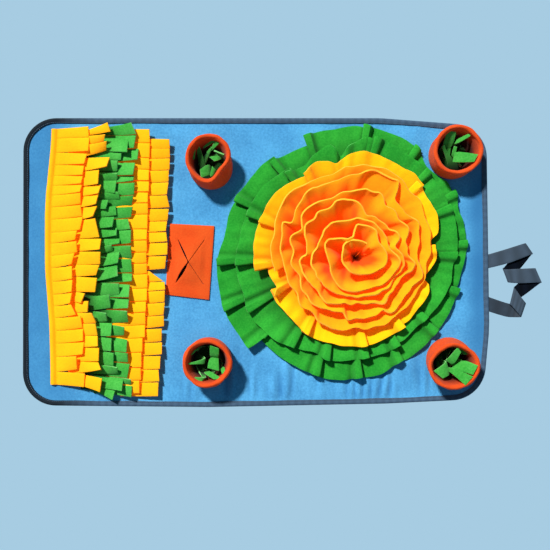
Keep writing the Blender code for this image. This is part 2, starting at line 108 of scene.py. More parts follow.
# %% [markdown]
# ## Where the photograph puts things
# The camera looked straight down from 1.5 m. A point above the mat shows further from the
# picture's middle than it is, so one helper turns a place in the photograph and a height into a
# place on the mat. It is how strands, folds and petals follow the picture at their real size.

# %% From the photograph to the mat
PIXEL = 1.7241           # millimetres of the mat that one pixel of the photograph shows
ORIGIN_U = 255.5         # the pixel that shows the mat's middle
ORIGIN_V = 262.0
RIGHT_EDGE_U = 487.5     # a pixel column that shows the mat's right edge
CAMERA_X = 33.6          # the camera's place, in mm from the mat's middle
CAMERA_Y = -22.4
CAMERA_Z = 1503.0
LENS = 56.95             # its focal length and the width of its sensor, in mm
SENSOR = 36.0


def seen_at(u, v, height=PANEL_TOP):
    """The place (mm) of what shows at a pixel, when it is that high above the floor."""
    nearer = (CAMERA_Z - height) / (CAMERA_Z - PANEL_TOP)
    x = CAMERA_X + ((u - ORIGIN_U) * PIXEL - CAMERA_X) * nearer
    y = CAMERA_Y + ((ORIGIN_V - v) * PIXEL - CAMERA_Y) * nearer
    return Vector((x, y))


print("the mat's right edge is at x =", round(seen_at(RIGHT_EDGE_U, ORIGIN_V).x), "mm")

# %% [markdown]
# ## Stage, camera and light
# A pale floor, one broad lamp from the upper left, about 46 degrees high, and a soft sky that
# fills the shadows. The lamp is a sun lamp with a wide disc, so all shadows fall the same way and
# their edges are a little soft.

# %% Camera, lamp and sky
SUN_FROM = Vector((-24, 34.5, 44))  # the way to the lamp
SUN_STRENGTH = 4.5
SUN_WIDTH = 6.0          # degrees
SUN_COLOUR = (1.0, 0.985, 0.95)
SKY_STRENGTH = 0.205
SKY_COLOUR = (0.36, 0.78, 1.0, 1.0)


def add_camera():
    data = bpy.data.cameras.new("camera")
    data.lens = LENS
    data.sensor_width = SENSOR
    data.clip_end = 100
    camera = bpy.data.objects.new("camera", data)
    camera.location = (CAMERA_X * MM, CAMERA_Y * MM, CAMERA_Z * MM)
    bpy.context.collection.objects.link(camera)
    bpy.context.scene.camera = camera


def add_light():
    data = bpy.data.lights.new("window", "SUN")
    data.energy = SUN_STRENGTH
    data.angle = math.radians(SUN_WIDTH)
    data.color = SUN_COLOUR
    lamp = bpy.data.objects.new("window", data)
    lamp.rotation_mode = "QUATERNION"
    lamp.rotation_quaternion = SUN_FROM.to_track_quat("Z", "Y")
    bpy.context.collection.objects.link(lamp)
    world = bpy.data.worlds.new("sky")
    world.use_nodes = True
    sky = world.node_tree.nodes["Background"]
    sky.inputs["Color"].default_value = SKY_COLOUR
    sky.inputs["Strength"].default_value = SKY_STRENGTH
    bpy.context.scene.world = world
    bpy.context.scene.view_settings.view_transform = "Standard"


add_camera()
add_light()
print("camera and light are set")

# %% [markdown]
# ## Cloths
# Polyester fleece is knitted and then brushed, so it has no weave to see: a dull nap, a little
# brighter where it is turned to the light, with small clouds in its colour. Its cut edge is a
# pale line, because the cut opens the white heart of the yarns. Felt is the same with a coarser,
# harder face. Tape and ribbon are woven, so they have fine ribs across them. Some colours are
# painted light and shade: a glow that lights the yellow fleece and the felt in their own shade,
# deep colours for the shade in hollows and under other cloth, lighter and darker copies of the
# green fleece, and a near-black back on the ribbon where it lies folded under.

# %% Materials
def linear(hex_colour):
    """An sRGB hex colour as linear values."""
    channels = [int(hex_colour[k:k + 2], 16) / 255 for k in (0, 2, 4)]
    return [((c + 0.055) / 1.055) ** 2.4 if c > 0.04 else c / 12.92 for c in channels] + [1.0]


def add_node(material, kind, inputs=(), **settings):
    """Add a node, set it up, and fill or link its inputs."""
    tree = material.node_tree
    made = tree.nodes.new(kind)
    for name, value in settings.items():
        setattr(made, name, value)
    for socket, value in dict(inputs).items():
        if isinstance(value, bpy.types.NodeSocket):
            tree.links.new(value, made.inputs[socket])
        else:
            made.inputs[socket].default_value = value
    return made


MIX_A = 6                # sockets of a colour Mix node
MIX_B = 7
MIX_RESULT = 2
CLOUDY = (0.75, 1.25)    # the sum of two noises lies mostly between these
WAVE_RATE = 20           # Blender's wave texture runs this many radians over a length of 1
RIB_CLOUD = 12           # size of the clouds in a woven tape's colour, in mm
LEFT_DARKENING = (-0.27, -0.34)  # X in metres from which the tape darkens towards the left, and where it is darkest
LEFT_DARK_COLOUR = "0E161D"
LEFT_DARK_SHARE = 0.93
BLACK = (0.0, 0.0, 0.0, 1.0)
# painted glow: emission that lights the yellow fleece in its own shade, so that its shade turns
# orange
YELLOW_PAINTED_GLOW = ((1.0, 0.10, 0.0, 1.0), 0.25)
# painted glow: emission that lights the felt tubs in their own shade, fading away inside them
FELT_PAINTED_GLOW = ((1.0, 0.04, 0.0, 1.0), 0.10)


def nap(name, light, dark, tuft=3.0, cloud=45.0, depth=0.5, roughness=0.95, sheen=0.15,
        painted_glow=None, deep=None, fade_from=None, darkest=None):
    """Brushed cloth: small tufts and broad clouds of colour (mm), and a bump from the tufts.

    A real tuft is under a millimetre, which is too fine to show, so it is drawn coarser. The
    glow is painted light: an emission of that colour and strength, so that the cloth lights its
    own shade. A deep colour takes over where the cloth's own "depth" attribute nears 1, and the
    darkest where it nears 2: both are painted shade, and on the mat's blue the deep colour also
    gives its uneven tone.
    The glow may fade away over one step of that attribute."""
    material = bpy.data.materials.new(name)
    material.use_nodes = True
    shader = material.node_tree.nodes["Principled BSDF"]
    place = add_node(material, "ShaderNodeTexCoord").outputs["Object"]
    tufts = add_node(material, "ShaderNodeTexNoise",
                     {"Vector": place, "Scale": 1 / (tuft * MM), "Detail": 3.0, "Roughness": 0.6})
    clouds = add_node(material, "ShaderNodeTexNoise",
                      {"Vector": place, "Scale": 1 / (cloud * MM), "Detail": 2.0})
    both = add_node(material, "ShaderNodeMath",
                    {0: tufts.outputs["Fac"], 1: clouds.outputs["Fac"]}, operation="ADD")
    share = add_node(material, "ShaderNodeMapRange",
                     {"Value": both.outputs[0], "From Min": CLOUDY[0], "From Max": CLOUDY[1]})
    colour = add_node(material, "ShaderNodeMix",
                      {0: share.outputs[0], MIX_A: linear(dark), MIX_B: linear(light)},
                      data_type="RGBA")
    bump = add_node(material, "ShaderNodeBump",
                    {"Height": tufts.outputs["Fac"], "Distance": depth * MM, "Strength": 0.6})
    if deep:
        depth_in = add_node(material, "ShaderNodeAttribute", attribute_name="depth")
        colour = add_node(material, "ShaderNodeMix",
                          {0: depth_in.outputs["Fac"], MIX_A: colour.outputs[MIX_RESULT],
                           MIX_B: linear(deep)}, data_type="RGBA")
    if darkest:
        beyond = add_node(material, "ShaderNodeMath", {0: depth_in.outputs["Fac"], 1: 1.0},
                          operation="SUBTRACT")
        colour = add_node(material, "ShaderNodeMix",
                          {0: beyond.outputs[0], MIX_A: colour.outputs[MIX_RESULT],
                           MIX_B: linear(darkest)}, data_type="RGBA")
    if painted_glow:
        shader.inputs["Emission Color"].default_value = painted_glow[0]
        if fade_from is not None:
            beyond = add_node(material, "ShaderNodeMath",
                              {0: depth_in.outputs["Fac"], 1: fade_from}, operation="SUBTRACT")
            fading = add_node(material, "ShaderNodeMix",
                              {0: beyond.outputs[0], MIX_A: painted_glow[0], MIX_B: BLACK},
                              data_type="RGBA")
            material.node_tree.links.new(fading.outputs[MIX_RESULT],
                                         shader.inputs["Emission Color"])
        shader.inputs["Emission Strength"].default_value = painted_glow[1]
    material.node_tree.links.new(colour.outputs[MIX_RESULT], shader.inputs["Base Color"])
    material.node_tree.links.new(bump.outputs["Normal"], shader.inputs["Normal"])
    shader.inputs["Roughness"].default_value = roughness
    shader.inputs["Sheen Weight"].default_value = sheen
    shader.inputs["Sheen Roughness"].default_value = 0.6
    shader.inputs["Specular IOR Level"].default_value = 0.2
    return material


def ribbed(name, light, dark, rib, depth, roughness=0.75, darker_left=False, sheen=0.1, gloss=0.5):
    """Woven tape or ribbon, with soft bands across it, rib mm apart, along the U of its own UV
    map. Real ribs are under a millimetre, which is too fine to show, so they are drawn coarser.
    The tape may be darker towards the mat's left end."""
    material = bpy.data.materials.new(name)
    material.use_nodes = True
    shader = material.node_tree.nodes["Principled BSDF"]
    cloth = add_node(material, "ShaderNodeUVMap", uv_map="cloth").outputs["UV"]
    ribs = add_node(material, "ShaderNodeTexWave",
                    {"Vector": cloth, "Scale": math.tau / (rib * MM) / WAVE_RATE,
                     "Distortion": 0.4, "Detail": 1.0},
                    wave_type="BANDS", bands_direction="X")
    place = add_node(material, "ShaderNodeTexCoord").outputs["Object"]
    clouds = add_node(material, "ShaderNodeTexNoise",
                      {"Vector": place, "Scale": 1 / (RIB_CLOUD * MM), "Detail": 3.0})
    both = add_node(material, "ShaderNodeMath",
                    {0: ribs.outputs["Fac"], 1: clouds.outputs["Fac"]}, operation="MULTIPLY")
    colour = add_node(material, "ShaderNodeMix",
                      {0: both.outputs[0], MIX_A: linear(dark), MIX_B: linear(light)},
                      data_type="RGBA")
    if darker_left:
        split = add_node(material, "ShaderNodeSeparateXYZ", {0: place})
        left = add_node(material, "ShaderNodeMapRange",
                        {"Value": split.outputs["X"], "From Min": LEFT_DARKENING[0],
                         "From Max": LEFT_DARKENING[1], "To Max": LEFT_DARK_SHARE})
        colour = add_node(material, "ShaderNodeMix",
                          {0: left.outputs[0], MIX_A: colour.outputs[MIX_RESULT],
                           MIX_B: linear(LEFT_DARK_COLOUR)}, data_type="RGBA")
    bump = add_node(material, "ShaderNodeBump",
                    {"Height": ribs.outputs["Fac"], "Distance": depth * MM, "Strength": 0.5})
    material.node_tree.links.new(colour.outputs[MIX_RESULT], shader.inputs["Base Color"])
    material.node_tree.links.new(bump.outputs["Normal"], shader.inputs["Normal"])
    shader.inputs["Roughness"].default_value = roughness
    shader.inputs["Sheen Weight"].default_value = sheen
    shader.inputs["Specular IOR Level"].default_value = gloss
    return material


def backdrop(name, hex_colour):
    """A floor that is lit from below, as in the photograph, where it shows no shadow."""
    material = bpy.data.materials.new(name)
    material.use_nodes = True
    shader = material.node_tree.nodes["Principled BSDF"]
    shader.inputs["Base Color"].default_value = BLACK
    shader.inputs["Specular IOR Level"].default_value = 0.0
    shader.inputs["Emission Color"].default_value = linear(hex_colour)
    shader.inputs["Emission Strength"].default_value = 1.0
    return material


# The deep and darkest colours below are painted shade. Each is taken up where a piece's depth
# attribute calls for it: in hollows, under folds and other cloth, inside the tubs and down the rose.
# On the mat's blue the deep colour is also its uneven tone.
FINISHES = {
    "blue": nap("fleece_blue_nap", "5CB2E8", "4491C8", tuft=3.5, cloud=70.0, sheen=0.1,
                deep="2E74AC", darkest="0A121C"),
    "yellow": nap("fleece_yellow_nap", "FDC106", "FAB403", sheen=0.04, painted_glow=YELLOW_PAINTED_GLOW),
    "yellow_edge": nap("fleece_yellow_cut_edge", "FFC42C", "FDB41C", sheen=0.1, painted_glow=YELLOW_PAINTED_GLOW),
    "petal": nap("fleece_yellow_petal_nap", "FFCE00", "FCC200", sheen=0.04, painted_glow=YELLOW_PAINTED_GLOW,
                 deep="B45E00"),
    "petal_edge": nap("fleece_yellow_petal_cut_edge", "FFC42C", "FDB41C", sheen=0.1,
                      painted_glow=YELLOW_PAINTED_GLOW),
    # The rose is the same yellow fleece, painted more orange as shade from its deep walls, with
    # painted shade deeper down and at its heart.
    "rose": nap("fleece_yellow_rose_painted_shade_nap", "FCB20A", "F9A406", sheen=0.04, painted_glow=YELLOW_PAINTED_GLOW,
                deep="EC4600", darkest="4A0A02", fade_from=1.0),
    "rose_edge": nap("fleece_yellow_rose_cut_edge", "FFC234", "FDB024", sheen=0.1,
                     painted_glow=YELLOW_PAINTED_GLOW),
    # The fringe, the tub leaves and the frills are one green fleece in two copies: a lighter one with
    # painted light for the fringe's raised strands and the leaves, and a darker one with painted
    # shade for the frills. The fringe's cut edge is pale from the cut, and paler still as a painted
    # highlight.
    "green": nap("fleece_green_painted_light_nap", "50B84A", "2F9A30", sheen=0.1, deep="0A3A08"),
    "green_edge": nap("fleece_green_painted_highlight_cut_edge", "8ED883", "66C05E", sheen=0.1),
    "leaf": nap("fleece_green_frill_painted_shade_nap", "34AE34", "1C9026", sheen=0.05, deep="0A4A10"),
    "leaf_edge": nap("fleece_green_frill_painted_shade_cut_edge", "5EC05A", "45AC44", sheen=0.1),
    "orange": nap("fleece_orange_nap", "F05C1C", "E64C12", sheen=0.05),
    "orange_edge": nap("fleece_orange_cut_edge", "F07A48", "E8642E", sheen=0.1),
    "felt": nap("felt_orange_pressed", "E4541C", "CC4310", tuft=2.5, depth=0.7, sheen=0.05,
                painted_glow=FELT_PAINTED_GLOW, deep="3A0C04", fade_from=0.0),
    "tape": ribbed("edge_tape_woven", "4E6882", "40566E", rib=12.57, depth=0.1, darker_left=True,
                   sheen=0.03, gloss=0.15),
    "ribbon": ribbed("grosgrain_ribbon", "3E5064", "2A3A4A", rib=10.05, depth=0.2),
    # painted shadow: the ribbon's back, near black where its runs lie folded under the ones above
    "ribbon_painted_shadow": ribbed("grosgrain_ribbon_painted_shadow", "0A1220", "040810", rib=10.05, depth=0.1,
                          sheen=0.0, gloss=0.05),
    "ribbon_low": ribbed("grosgrain_ribbon_underside", "2C3C4C", "1E2A38", rib=10.05,
                         depth=0.2),
    "thread_grey": nap("thread_grey_spun", "52667C", "43566B"),
    "floor": backdrop("floor_lit_from_below", "A7CCE2"),
}
print("made", len(FINISHES), "finishes")

# %% [markdown]
# ## How a cloth is cut and laid
# Each cloth starts as a flat grid, as it lies on the cutting table. Faces that the scissors take
# out are deleted, every point is then put where it lies on the mat, and Solidify gives the
# thickness. Its rim gets the pale finish of a cut edge, and a small bevel rounds it. The grid's
# own area is the size that the piece was cut to.

# %% Cloth helpers
BODY = "root"
CREASE = math.radians(50)  # sharper edges than this are rounded
WELD = 1e-6              # metres


def cloth_grid(columns, rows, place, flat, keep=None, shade=None):
    """A grid of cloth. place(column, row) puts each point (mm), keep(column, row) tells which
    faces stay, shade(column, row) how deep a point lies out of the light. Its UV map runs over
    the flat size in metres. Points that meet are welded."""
    bm = bmesh.new()
    uv = bm.loops.layers.uv.new("cloth")
    if shade:
        depth = bm.verts.layers.float.new("depth")
    bmesh.ops.create_grid(bm, x_segments=columns, y_segments=rows, size=1.0)
    if keep:
        spare = []
        for face in bm.faces:
            middle = face.calc_center_median()
            column = int((middle.x + 1) / 2 * columns)
            row = int((middle.y + 1) / 2 * rows)
            if not keep(column, row):
                spare.append(face)
        bmesh.ops.delete(bm, geom=spare, context="FACES")
    for face in bm.faces:
        for loop in face.loops:
            spot = loop.vert.co
            loop[uv].uv = ((spot.x + 1) / 2 * flat[0], (spot.y + 1) / 2 * flat[1])
    for vert in bm.verts:
        column = round((vert.co.x + 1) / 2 * columns)
        row = round((vert.co.y + 1) / 2 * rows)
        vert.co = Vector(place(column, row)) * MM
        if shade:
            vert[depth] = shade(column, row)
    bmesh.ops.remove_doubles(bm, verts=bm.verts, dist=WELD)
    return bm


def dress(name, bm, finish, edge=None, thickness=None, bevel=0.5, back=None):
    """Turn a mesh into a piece that rides on the mat. A thickness makes a sheet of it, whose cut
    edge and back may have finishes of their own."""
    bmesh.ops.recalc_face_normals(bm, faces=bm.faces)
    mesh = bpy.data.meshes.new(name)
    bm.to_mesh(mesh)
    area = sum(face.calc_area() for face in bm.faces)
    bm.free()
    mesh.shade_smooth()
    mesh.materials.append(FINISHES[finish])
    for other in (edge, back):
        if other:
            mesh.materials.append(FINISHES[other])
    piece = bpy.data.objects.new(name, mesh)
    bpy.context.collection.objects.link(piece)
    if thickness:
        solid = piece.modifiers.new("thickness", "SOLIDIFY")
        solid.thickness = thickness * MM
        solid.offset = 0.0
        solid.use_rim = True
        if edge:
            solid.material_offset_rim = 1
        if back:
            solid.material_offset = 1
        rounded = piece.modifiers.new("soft edge", "BEVEL")
        rounded.width = bevel * MM
        rounded.segments = 2
        rounded.limit_method = "ANGLE"
        rounded.angle_limit = CREASE
    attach(piece, BODY)
    print(name, "has", len(mesh.polygons), "faces and", round(area * 1e4), "square cm of cloth")
    return piece, area


STITCH = 2.4             # length of one stitch
STITCH_STEP = 3.6        # from one stitch to the next
THREAD = 0.8             # thickness of the thread
THREAD_ROUND = 0.3       # share of it that the bevel takes off


def stitches(name, line, finish):
    """A row of stitches along a line of points (mm): each is a small rounded bar."""
    bm = bmesh.new()
    walked = 0.0
    for start, end in zip(line, line[1:]):
        step = (end - start).length
        while walked < step:
            spot = start.lerp(end, walked / step)
            turn = (end - start).to_track_quat("X", "Z").to_matrix().to_4x4()
            size = Matrix.Diagonal((STITCH, THREAD, THREAD, 1.0))
            made = bmesh.ops.create_cube(bm, size=1.0, matrix=Matrix.Translation(spot) @ turn @ size)
            bmesh.ops.bevel(bm, geom=made["verts"], offset=THREAD * THREAD_ROUND, segments=1,
                            profile=0.5, affect="VERTICES", material=-1)
            walked += STITCH_STEP
        walked -= step
    bmesh.ops.scale(bm, vec=(MM, MM, MM), verts=bm.verts)
    return dress(name, bm, finish)[0]


# %% [markdown]
# ## The mat
# One fleece panel with rounded corners. It is a flat disc of points moved onto the outline, cut
# across every few millimetres so that it can swell. Fleece never lies dead flat: it has broad
# swells, and finer pulls that run out from under what is sewn on it. Its rim is pressed thin
# inside the edge tape.

# %% The outline
OUTLINE = (
    # X, Y, corner radius, counter-clockwise: the right end is a little narrower
    (-401, -247, 57), (-80, -250, 200), (225, -244, 150), (392, -236, 60),
    (403, -115, 200), (398, 234, 58), (215, 248, 150), (-400, 248, 57),
)
ARC_STEP = math.radians(5)
OUTLINE_STEP = 3.0       # distance between two points of the finished outline


def rounded_outline():
    """Points around the mat, evenly spaced, with an arc at each corner."""
    rough = []
    for k, (x, y, radius) in enumerate(OUTLINE):
        corner = Vector((x, y))
        back = (Vector(OUTLINE[k - 1][:2]) - corner).normalized()
        ahead = (Vector(OUTLINE[(k + 1) % len(OUTLINE)][:2]) - corner).normalized()
        half = back.angle(ahead) / 2
        centre = corner + (back + ahead).normalized() * radius / math.sin(half)
        spoke = corner + back * radius / math.tan(half) - centre
        turn = math.pi - 2 * half
        steps = max(1, round(turn / ARC_STEP))
        for step in range(steps + 1):
            rough.append(centre + Matrix.Rotation(turn * step / steps, 2) @ spoke)
    rough.append(rough[0])
    spans = [(b - a).length for a, b in zip(rough, rough[1:])]
    count = round(sum(spans) / OUTLINE_STEP)
    points = []
    k = 0
    before = 0.0
    for number in range(count):
        goal = sum(spans) * number / count
        while before + spans[k] < goal:
            before += spans[k]
            k += 1
        points.append(rough[k].lerp(rough[k + 1], (goal - before) / spans[k]))
    return points


RIM = rounded_outline()
INWARDS = []
for k in range(len(RIM)):
    ahead = RIM[(k + 1) % len(RIM)] - RIM[k - 1]
    INWARDS.append(Vector((-ahead.y, ahead.x)).normalized())
print("the outline has", len(RIM), "points")

# %% The panel
PANEL_INSET = 1.6        # the panel's own edge lies this far inside the tape's fold
PANEL_STEPS = (3.5, 7.0)  # distance between the cuts along X and along Y
RIM_DROP = 0.2           # the rim lies this far under the panel's top
RIM_SECTION = (
    # steps inwards from the rim, and the height each one ends at: the rim's underside inside the
    # tape, then down to the floor
    (0.0, 1.4), (10.6, 1.4), (1.8, 0.0),
)
CUT_WELD = 1e-4          # mm
PULLS = (
    # creases of the panel, from u, v to u, v, with their width and height in mm
    (262, 352, 246, 396, 5, 0.8), (276, 366, 268, 398, 4, 0.7), (290, 378, 286, 400, 4, 0.8),
    (310, 384, 308, 402, 5, 0.7), (330, 388, 331, 402, 4, 0.7), (352, 388, 356, 402, 5, 0.7),
    (376, 382, 384, 400, 4, 0.8), (398, 372, 410, 398, 4, 0.7), (416, 360, 430, 392, 5, 0.8),
    (424, 160, 446, 128, 5, 0.8), (410, 142, 420, 124, 4, 0.6), (236, 300, 222, 330, 6, 0.7),
    (232, 210, 214, 196, 6, 0.6), (170, 300, 176, 390, 8, 0.5), (172, 140, 178, 215, 8, 0.5),
)
PULL_PAST = 0.2          # a crease fades out this share of its length past its ends
FLOWER = (153.5, 17.0)   # X and Y of the flower's middle
# Below the flower the fleece is gathered by its seams, and ripples.
RIPPLES_FROM = (205.0, 12.0)  # distance from the flower's middle, and how softly they begin
RIPPLES_ROUND = (-97.0, 48.0, 15.0)  # direction in degrees, half the span, how softly they end
RIPPLES_END = (-240.0, 16.0)  # Y of their lower end, and how softly they end
RIPPLE = 18.0            # from one ripple to the next
RIPPLE_WANDER = (1.1, 45)  # how many ripples they wander sideways, and how slowly
RIPPLE_POWER = (0.45, 1.6, 34)  # their strength, how much it varies, and how slowly
RIPPLE_HEIGHT = 2.6
RIPPLE_BIAS = 0.3        # the crests are higher than the hollows are deep
RIPPLE_TONE = 1.0        # painted shade: how much deeper the colour is in a ripple's hollow
PANEL_SWELLS = ((0.9, 80, 2.0), (0.45, 26, 7.0))  # height, width, seed
PANEL_DROP = 0.5         # how far the swells' middle lies under the panel's top
PANEL_LOWEST = 1.2
LEFT_DEEP = (-290, 70, 0.7)  # X from which the colour deepens, over how far, how much
RIGHT_DEEP = (350, 35, 1.0)
ENDS_TONE = 0.8          # how deep it gets at the mat's two ends
CLOUD_TONE = (0.25, 60)  # depth and size of the clouds in it
UNLIT = (-115, 0, 28, 44)  # X, Y and half sizes of the place under the pocket, always in the dark
DARKEST = 2.0            # this depth gives the darkest colour


def rippled(x, y):
    """The uneven ripples that run from the flower to the lower edge, from about -0.7 to 1.3."""
    away = Vector((x, y)) - Vector(FLOWER)
    angle = math.degrees(math.atan2(away.y, away.x))
    middle, span, soft = RIPPLES_ROUND
    fade = smooth((away.length - RIPPLES_FROM[0]) / RIPPLES_FROM[1])
    fade *= smooth((span - abs(angle - middle)) / soft)
    fade *= smooth((y - RIPPLES_END[0]) / RIPPLES_END[1])
    # The noise is drawn out along Y, as the ripples are.
    wave = away.x / RIPPLE + RIPPLE_WANDER[0] * swell(x, y / 4, RIPPLE_WANDER[1], 5.0)
    power, varies, width = RIPPLE_POWER
    strength = smooth(power + varies * swell(x, y / 3, width, 9.0))
    return fade * strength * (RIPPLE_BIAS + math.sin(math.tau * wave))


def panel_height(x, y):
    """The top of the fleece: broad swells, a few soft pulls and the ripples."""
    height = PANEL_TOP - PANEL_DROP
    for rise, width, seed in PANEL_SWELLS:
        height += rise * swell(x, y, width, seed)
    for u0, v0, u1, v1, width, rise in PULLS:
        start = seen_at(u0, v0)
        line = seen_at(u1, v1) - start
        share = (Vector((x, y)) - start).dot(line) / line.length_squared
        if -PULL_PAST < share < 1 + PULL_PAST:
            away = (Vector((x, y)) - start - line * share).length / width
            fade = smooth(1 + PULL_PAST - abs(share - 0.5) * 2)
            height += rise * fade * math.exp(-away * away)
    return max(height + RIPPLE_HEIGHT * rippled(x, y), PANEL_LOWEST)


def nearest_inwards(spot):
    """The way into the mat from the point of the outline that is nearest."""
    flat = Vector((spot.x, spot.y))
    k = min(range(len(RIM)), key=lambda i: (RIM[i] - flat).length_squared)
    return INWARDS[k]


def make_panel():
    bm = bmesh.new()
    bmesh.ops.create_circle(bm, cap_ends=True, segments=len(RIM), radius=1.0)
    bm.verts.ensure_lookup_table()
    for vert in bm.verts:
        k = round(math.atan2(vert.co.y, vert.co.x) / math.tau * len(RIM)) % len(RIM)
        spot = RIM[k] + INWARDS[k] * PANEL_INSET
        vert.co = (spot.x, spot.y, 0)
    low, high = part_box("mat_panel")
    for axis, start, end in ((0, low.x, high.x), (1, low.y, high.y)):
        cuts = round((end - start) / MM / PANEL_STEPS[axis])
        normal = Vector((1, 0, 0)) if axis == 0 else Vector((0, 1, 0))
        for cut in range(1, cuts):
            point = normal * mix(start, end, cut / cuts) / MM
            bmesh.ops.bisect_plane(bm, geom=bm.verts[:] + bm.edges[:] + bm.faces[:],
                                   dist=CUT_WELD, plane_co=point, plane_no=normal)
    rim = [edge for edge in bm.edges if edge.is_boundary]
    rim_verts = {vert for edge in rim for vert in edge.verts}
    for vert in bm.verts:
        if vert not in rim_verts:
            vert.co.z = panel_height(vert.co.x, vert.co.y)
        else:
            vert.co.z = PANEL_TOP - RIM_DROP
    for inset, height in RIM_SECTION:
        made = bmesh.ops.extrude_edge_only(bm, edges=rim)["geom"]
        rim = [edge for edge in made if isinstance(edge, bmesh.types.BMEdge) and edge.is_boundary]
        for vert in {vert for edge in rim for vert in edge.verts}:
            inwards = nearest_inwards(vert.co)
            vert.co.x += inwards.x * inset
            vert.co.y += inwards.y * inset
            vert.co.z = height
    bmesh.ops.holes_fill(bm, edges=rim, sides=0)
    # The depth attribute deepens the blue towards both ends and in soft clouds. In the ripples'
    # hollows it is painted shade, and under the pocket it is the darkest painted shadow.
    depth = bm.verts.layers.float.new("depth")
    for vert in bm.verts:
        x, y = vert.co.x, vert.co.y
        ends = smooth((LEFT_DEEP[0] - x) / LEFT_DEEP[1]) * LEFT_DEEP[2]
        ends += smooth((x - RIGHT_DEEP[0]) / RIGHT_DEEP[1]) * RIGHT_DEEP[2]
        tone = ENDS_TONE * ends + CLOUD_TONE[0] * swell(x, y, CLOUD_TONE[1], 4.0)
        tone += RIPPLE_TONE * max(-rippled(x, y), 0.0)
        vert[depth] = min(max(tone, 0.0), 1.0)
        if abs(x - UNLIT[0]) < UNLIT[2] and abs(y - UNLIT[1]) < UNLIT[3]:
            vert[depth] = DARKEST
    bmesh.ops.scale(bm, vec=(MM, MM, MM), verts=bm.verts)
    piece = dress("mat_fleece", bm, "blue")[0]
    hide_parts("mat_panel")
    return piece


UPWARDS = 0.5            # a face that is turned up more than this is counted as the top

panel = make_panel()
top_area = sum(p.area for p in panel.data.polygons if p.normal.z > UPWARDS)
print("the panel's top is", round(top_area, 3), "square metres")

# %% [markdown]
# ## The edge tape
# A woven tape is folded over the panel's rim and sewn through. Its section is a soft C, carried
# round the outline. Because the tape is straight and the corners aren't, it puckers a little
# there, and the row of stitches pulls a slight dip.

# %% Tape and its stitches
TAPE_SECTION = (
    # inset from the outline, height
    (9.2, 0.0), (1.8, 0.0), (0.6, 0.4), (0.0, 1.4), (0.0, 3.2), (0.5, 4.4), (1.7, 5.0),
    (3.5, 5.2), (6.4, 4.7), (7.4, 4.1), (8.4, 4.5), (9.2, 4.1), (9.2, 3.7), (8.6, 3.5),
    (1.3, 3.5), (1.3, 1.1), (9.2, 1.1),
)
STITCH_INSET = 7.4       # the row of stitches lies in the section's dip
STITCH_HEIGHT = 4.5
TAPE_ROUND = 0.036
TAPE_EDGE = (8.0, 1.0, 60)  # beyond this inset its sewn edge wanders, so much, so slowly
TAPE_UPPER = (3.6, 0.15, 14)  # above this height its face swells, so much, so slowly


def make_tape():
    columns = len(RIM)
    rows = len(TAPE_SECTION)

    def place(column, row):
        k = column % columns
        inset, height = TAPE_SECTION[row % rows]
        spot = RIM[k]
        if inset > TAPE_EDGE[0]:
            inset += TAPE_EDGE[1] * swell(spot.x, spot.y, TAPE_EDGE[2], 3.0)
        if height > TAPE_UPPER[0]:
            height += TAPE_UPPER[1] * swell(spot.x, spot.y, TAPE_UPPER[2], 3.0)
        spot = spot + INWARDS[k] * inset
        return spot.x, spot.y, height

    length = columns * OUTLINE_STEP * MM
    bm = cloth_grid(columns, rows, place, (length, TAPE_ROUND))
    tape, area = dress("edge_binding", bm, "tape")
    line = []
    for k in range(columns + 1):
        spot = RIM[k % columns] + INWARDS[k % columns] * STITCH_INSET
        line.append(Vector((spot.x, spot.y, STITCH_HEIGHT)))
    thread = stitches("binding_stitches", line, "thread_grey")
    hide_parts("edge_tape")
    print("  the tape's two faces are", round(area, 4), "square metres")


make_tape()

# %% [markdown]
# ## The fringe
# Each row is one strip of fleece, sewn down along its left side and slit into strands with
# scissors. The strands rise over the next row, so they stand in steps from left to right. No two
# lie alike: the table gives where the two corners of each tip show in the photograph. The yellow
# strands lie flat and close, and the green ones are tousled.

# %% Where the strands end
ROW_1 = (
    # u, v of the tip's upper corner, u, v of its lower corner, extra lift and roll in mm
    (88.5, 126.5, 89, 137), (89.5, 137.5, 88.5, 151), (87, 154, 84.5, 164), (84, 166, 83, 175),
    (83, 175.5, 81.5, 183.5), (82, 184.5, 80.5, 192), (81, 193, 80.5, 203.5), (81, 205, 82, 216),
    (83, 217, 80, 229.5), (77.5, 230.5, 75, 239.5), (77, 241, 77, 252), (75, 253, 71.5, 264),
    (72, 266, 72.5, 278.5), (72.5, 280, 72, 291.5), (72, 293, 70.5, 303), (71, 304.5, 76, 314.5),
    (81, 316, 82.5, 327.5), (83, 329, 83.5, 340.5), (84, 342, 83, 354), (77, 356, 77, 369),
    (85, 373.5, 84, 387),
)
ROW_2 = (
    (107.5, 122.5, 110.5, 131.5, 2, 0), (106, 135, 103.5, 141.5), (107.5, 142, 106, 150),
    (109.5, 157.5, 107.5, 167), (99, 170, 98.5, 184), (101, 185, 99, 193.5), (98.5, 194, 96.5, 204),
    (97, 206, 93.5, 216.5), (95, 218, 99.5, 237), (101, 239, 100.5, 249.5), (101, 252, 100, 264),
    (100, 265, 96, 275), (97.5, 278, 95, 292), (85, 293.5, 81, 303), (88.5, 301, 87.5, 312),
    (92, 313, 96, 322.5), (96, 323.5, 97.5, 335), (97.5, 336, 98.5, 346), (99, 347.5, 99, 361),
    (98, 362, 102, 369), (102, 378.5, 100, 392, 2, 0),
)
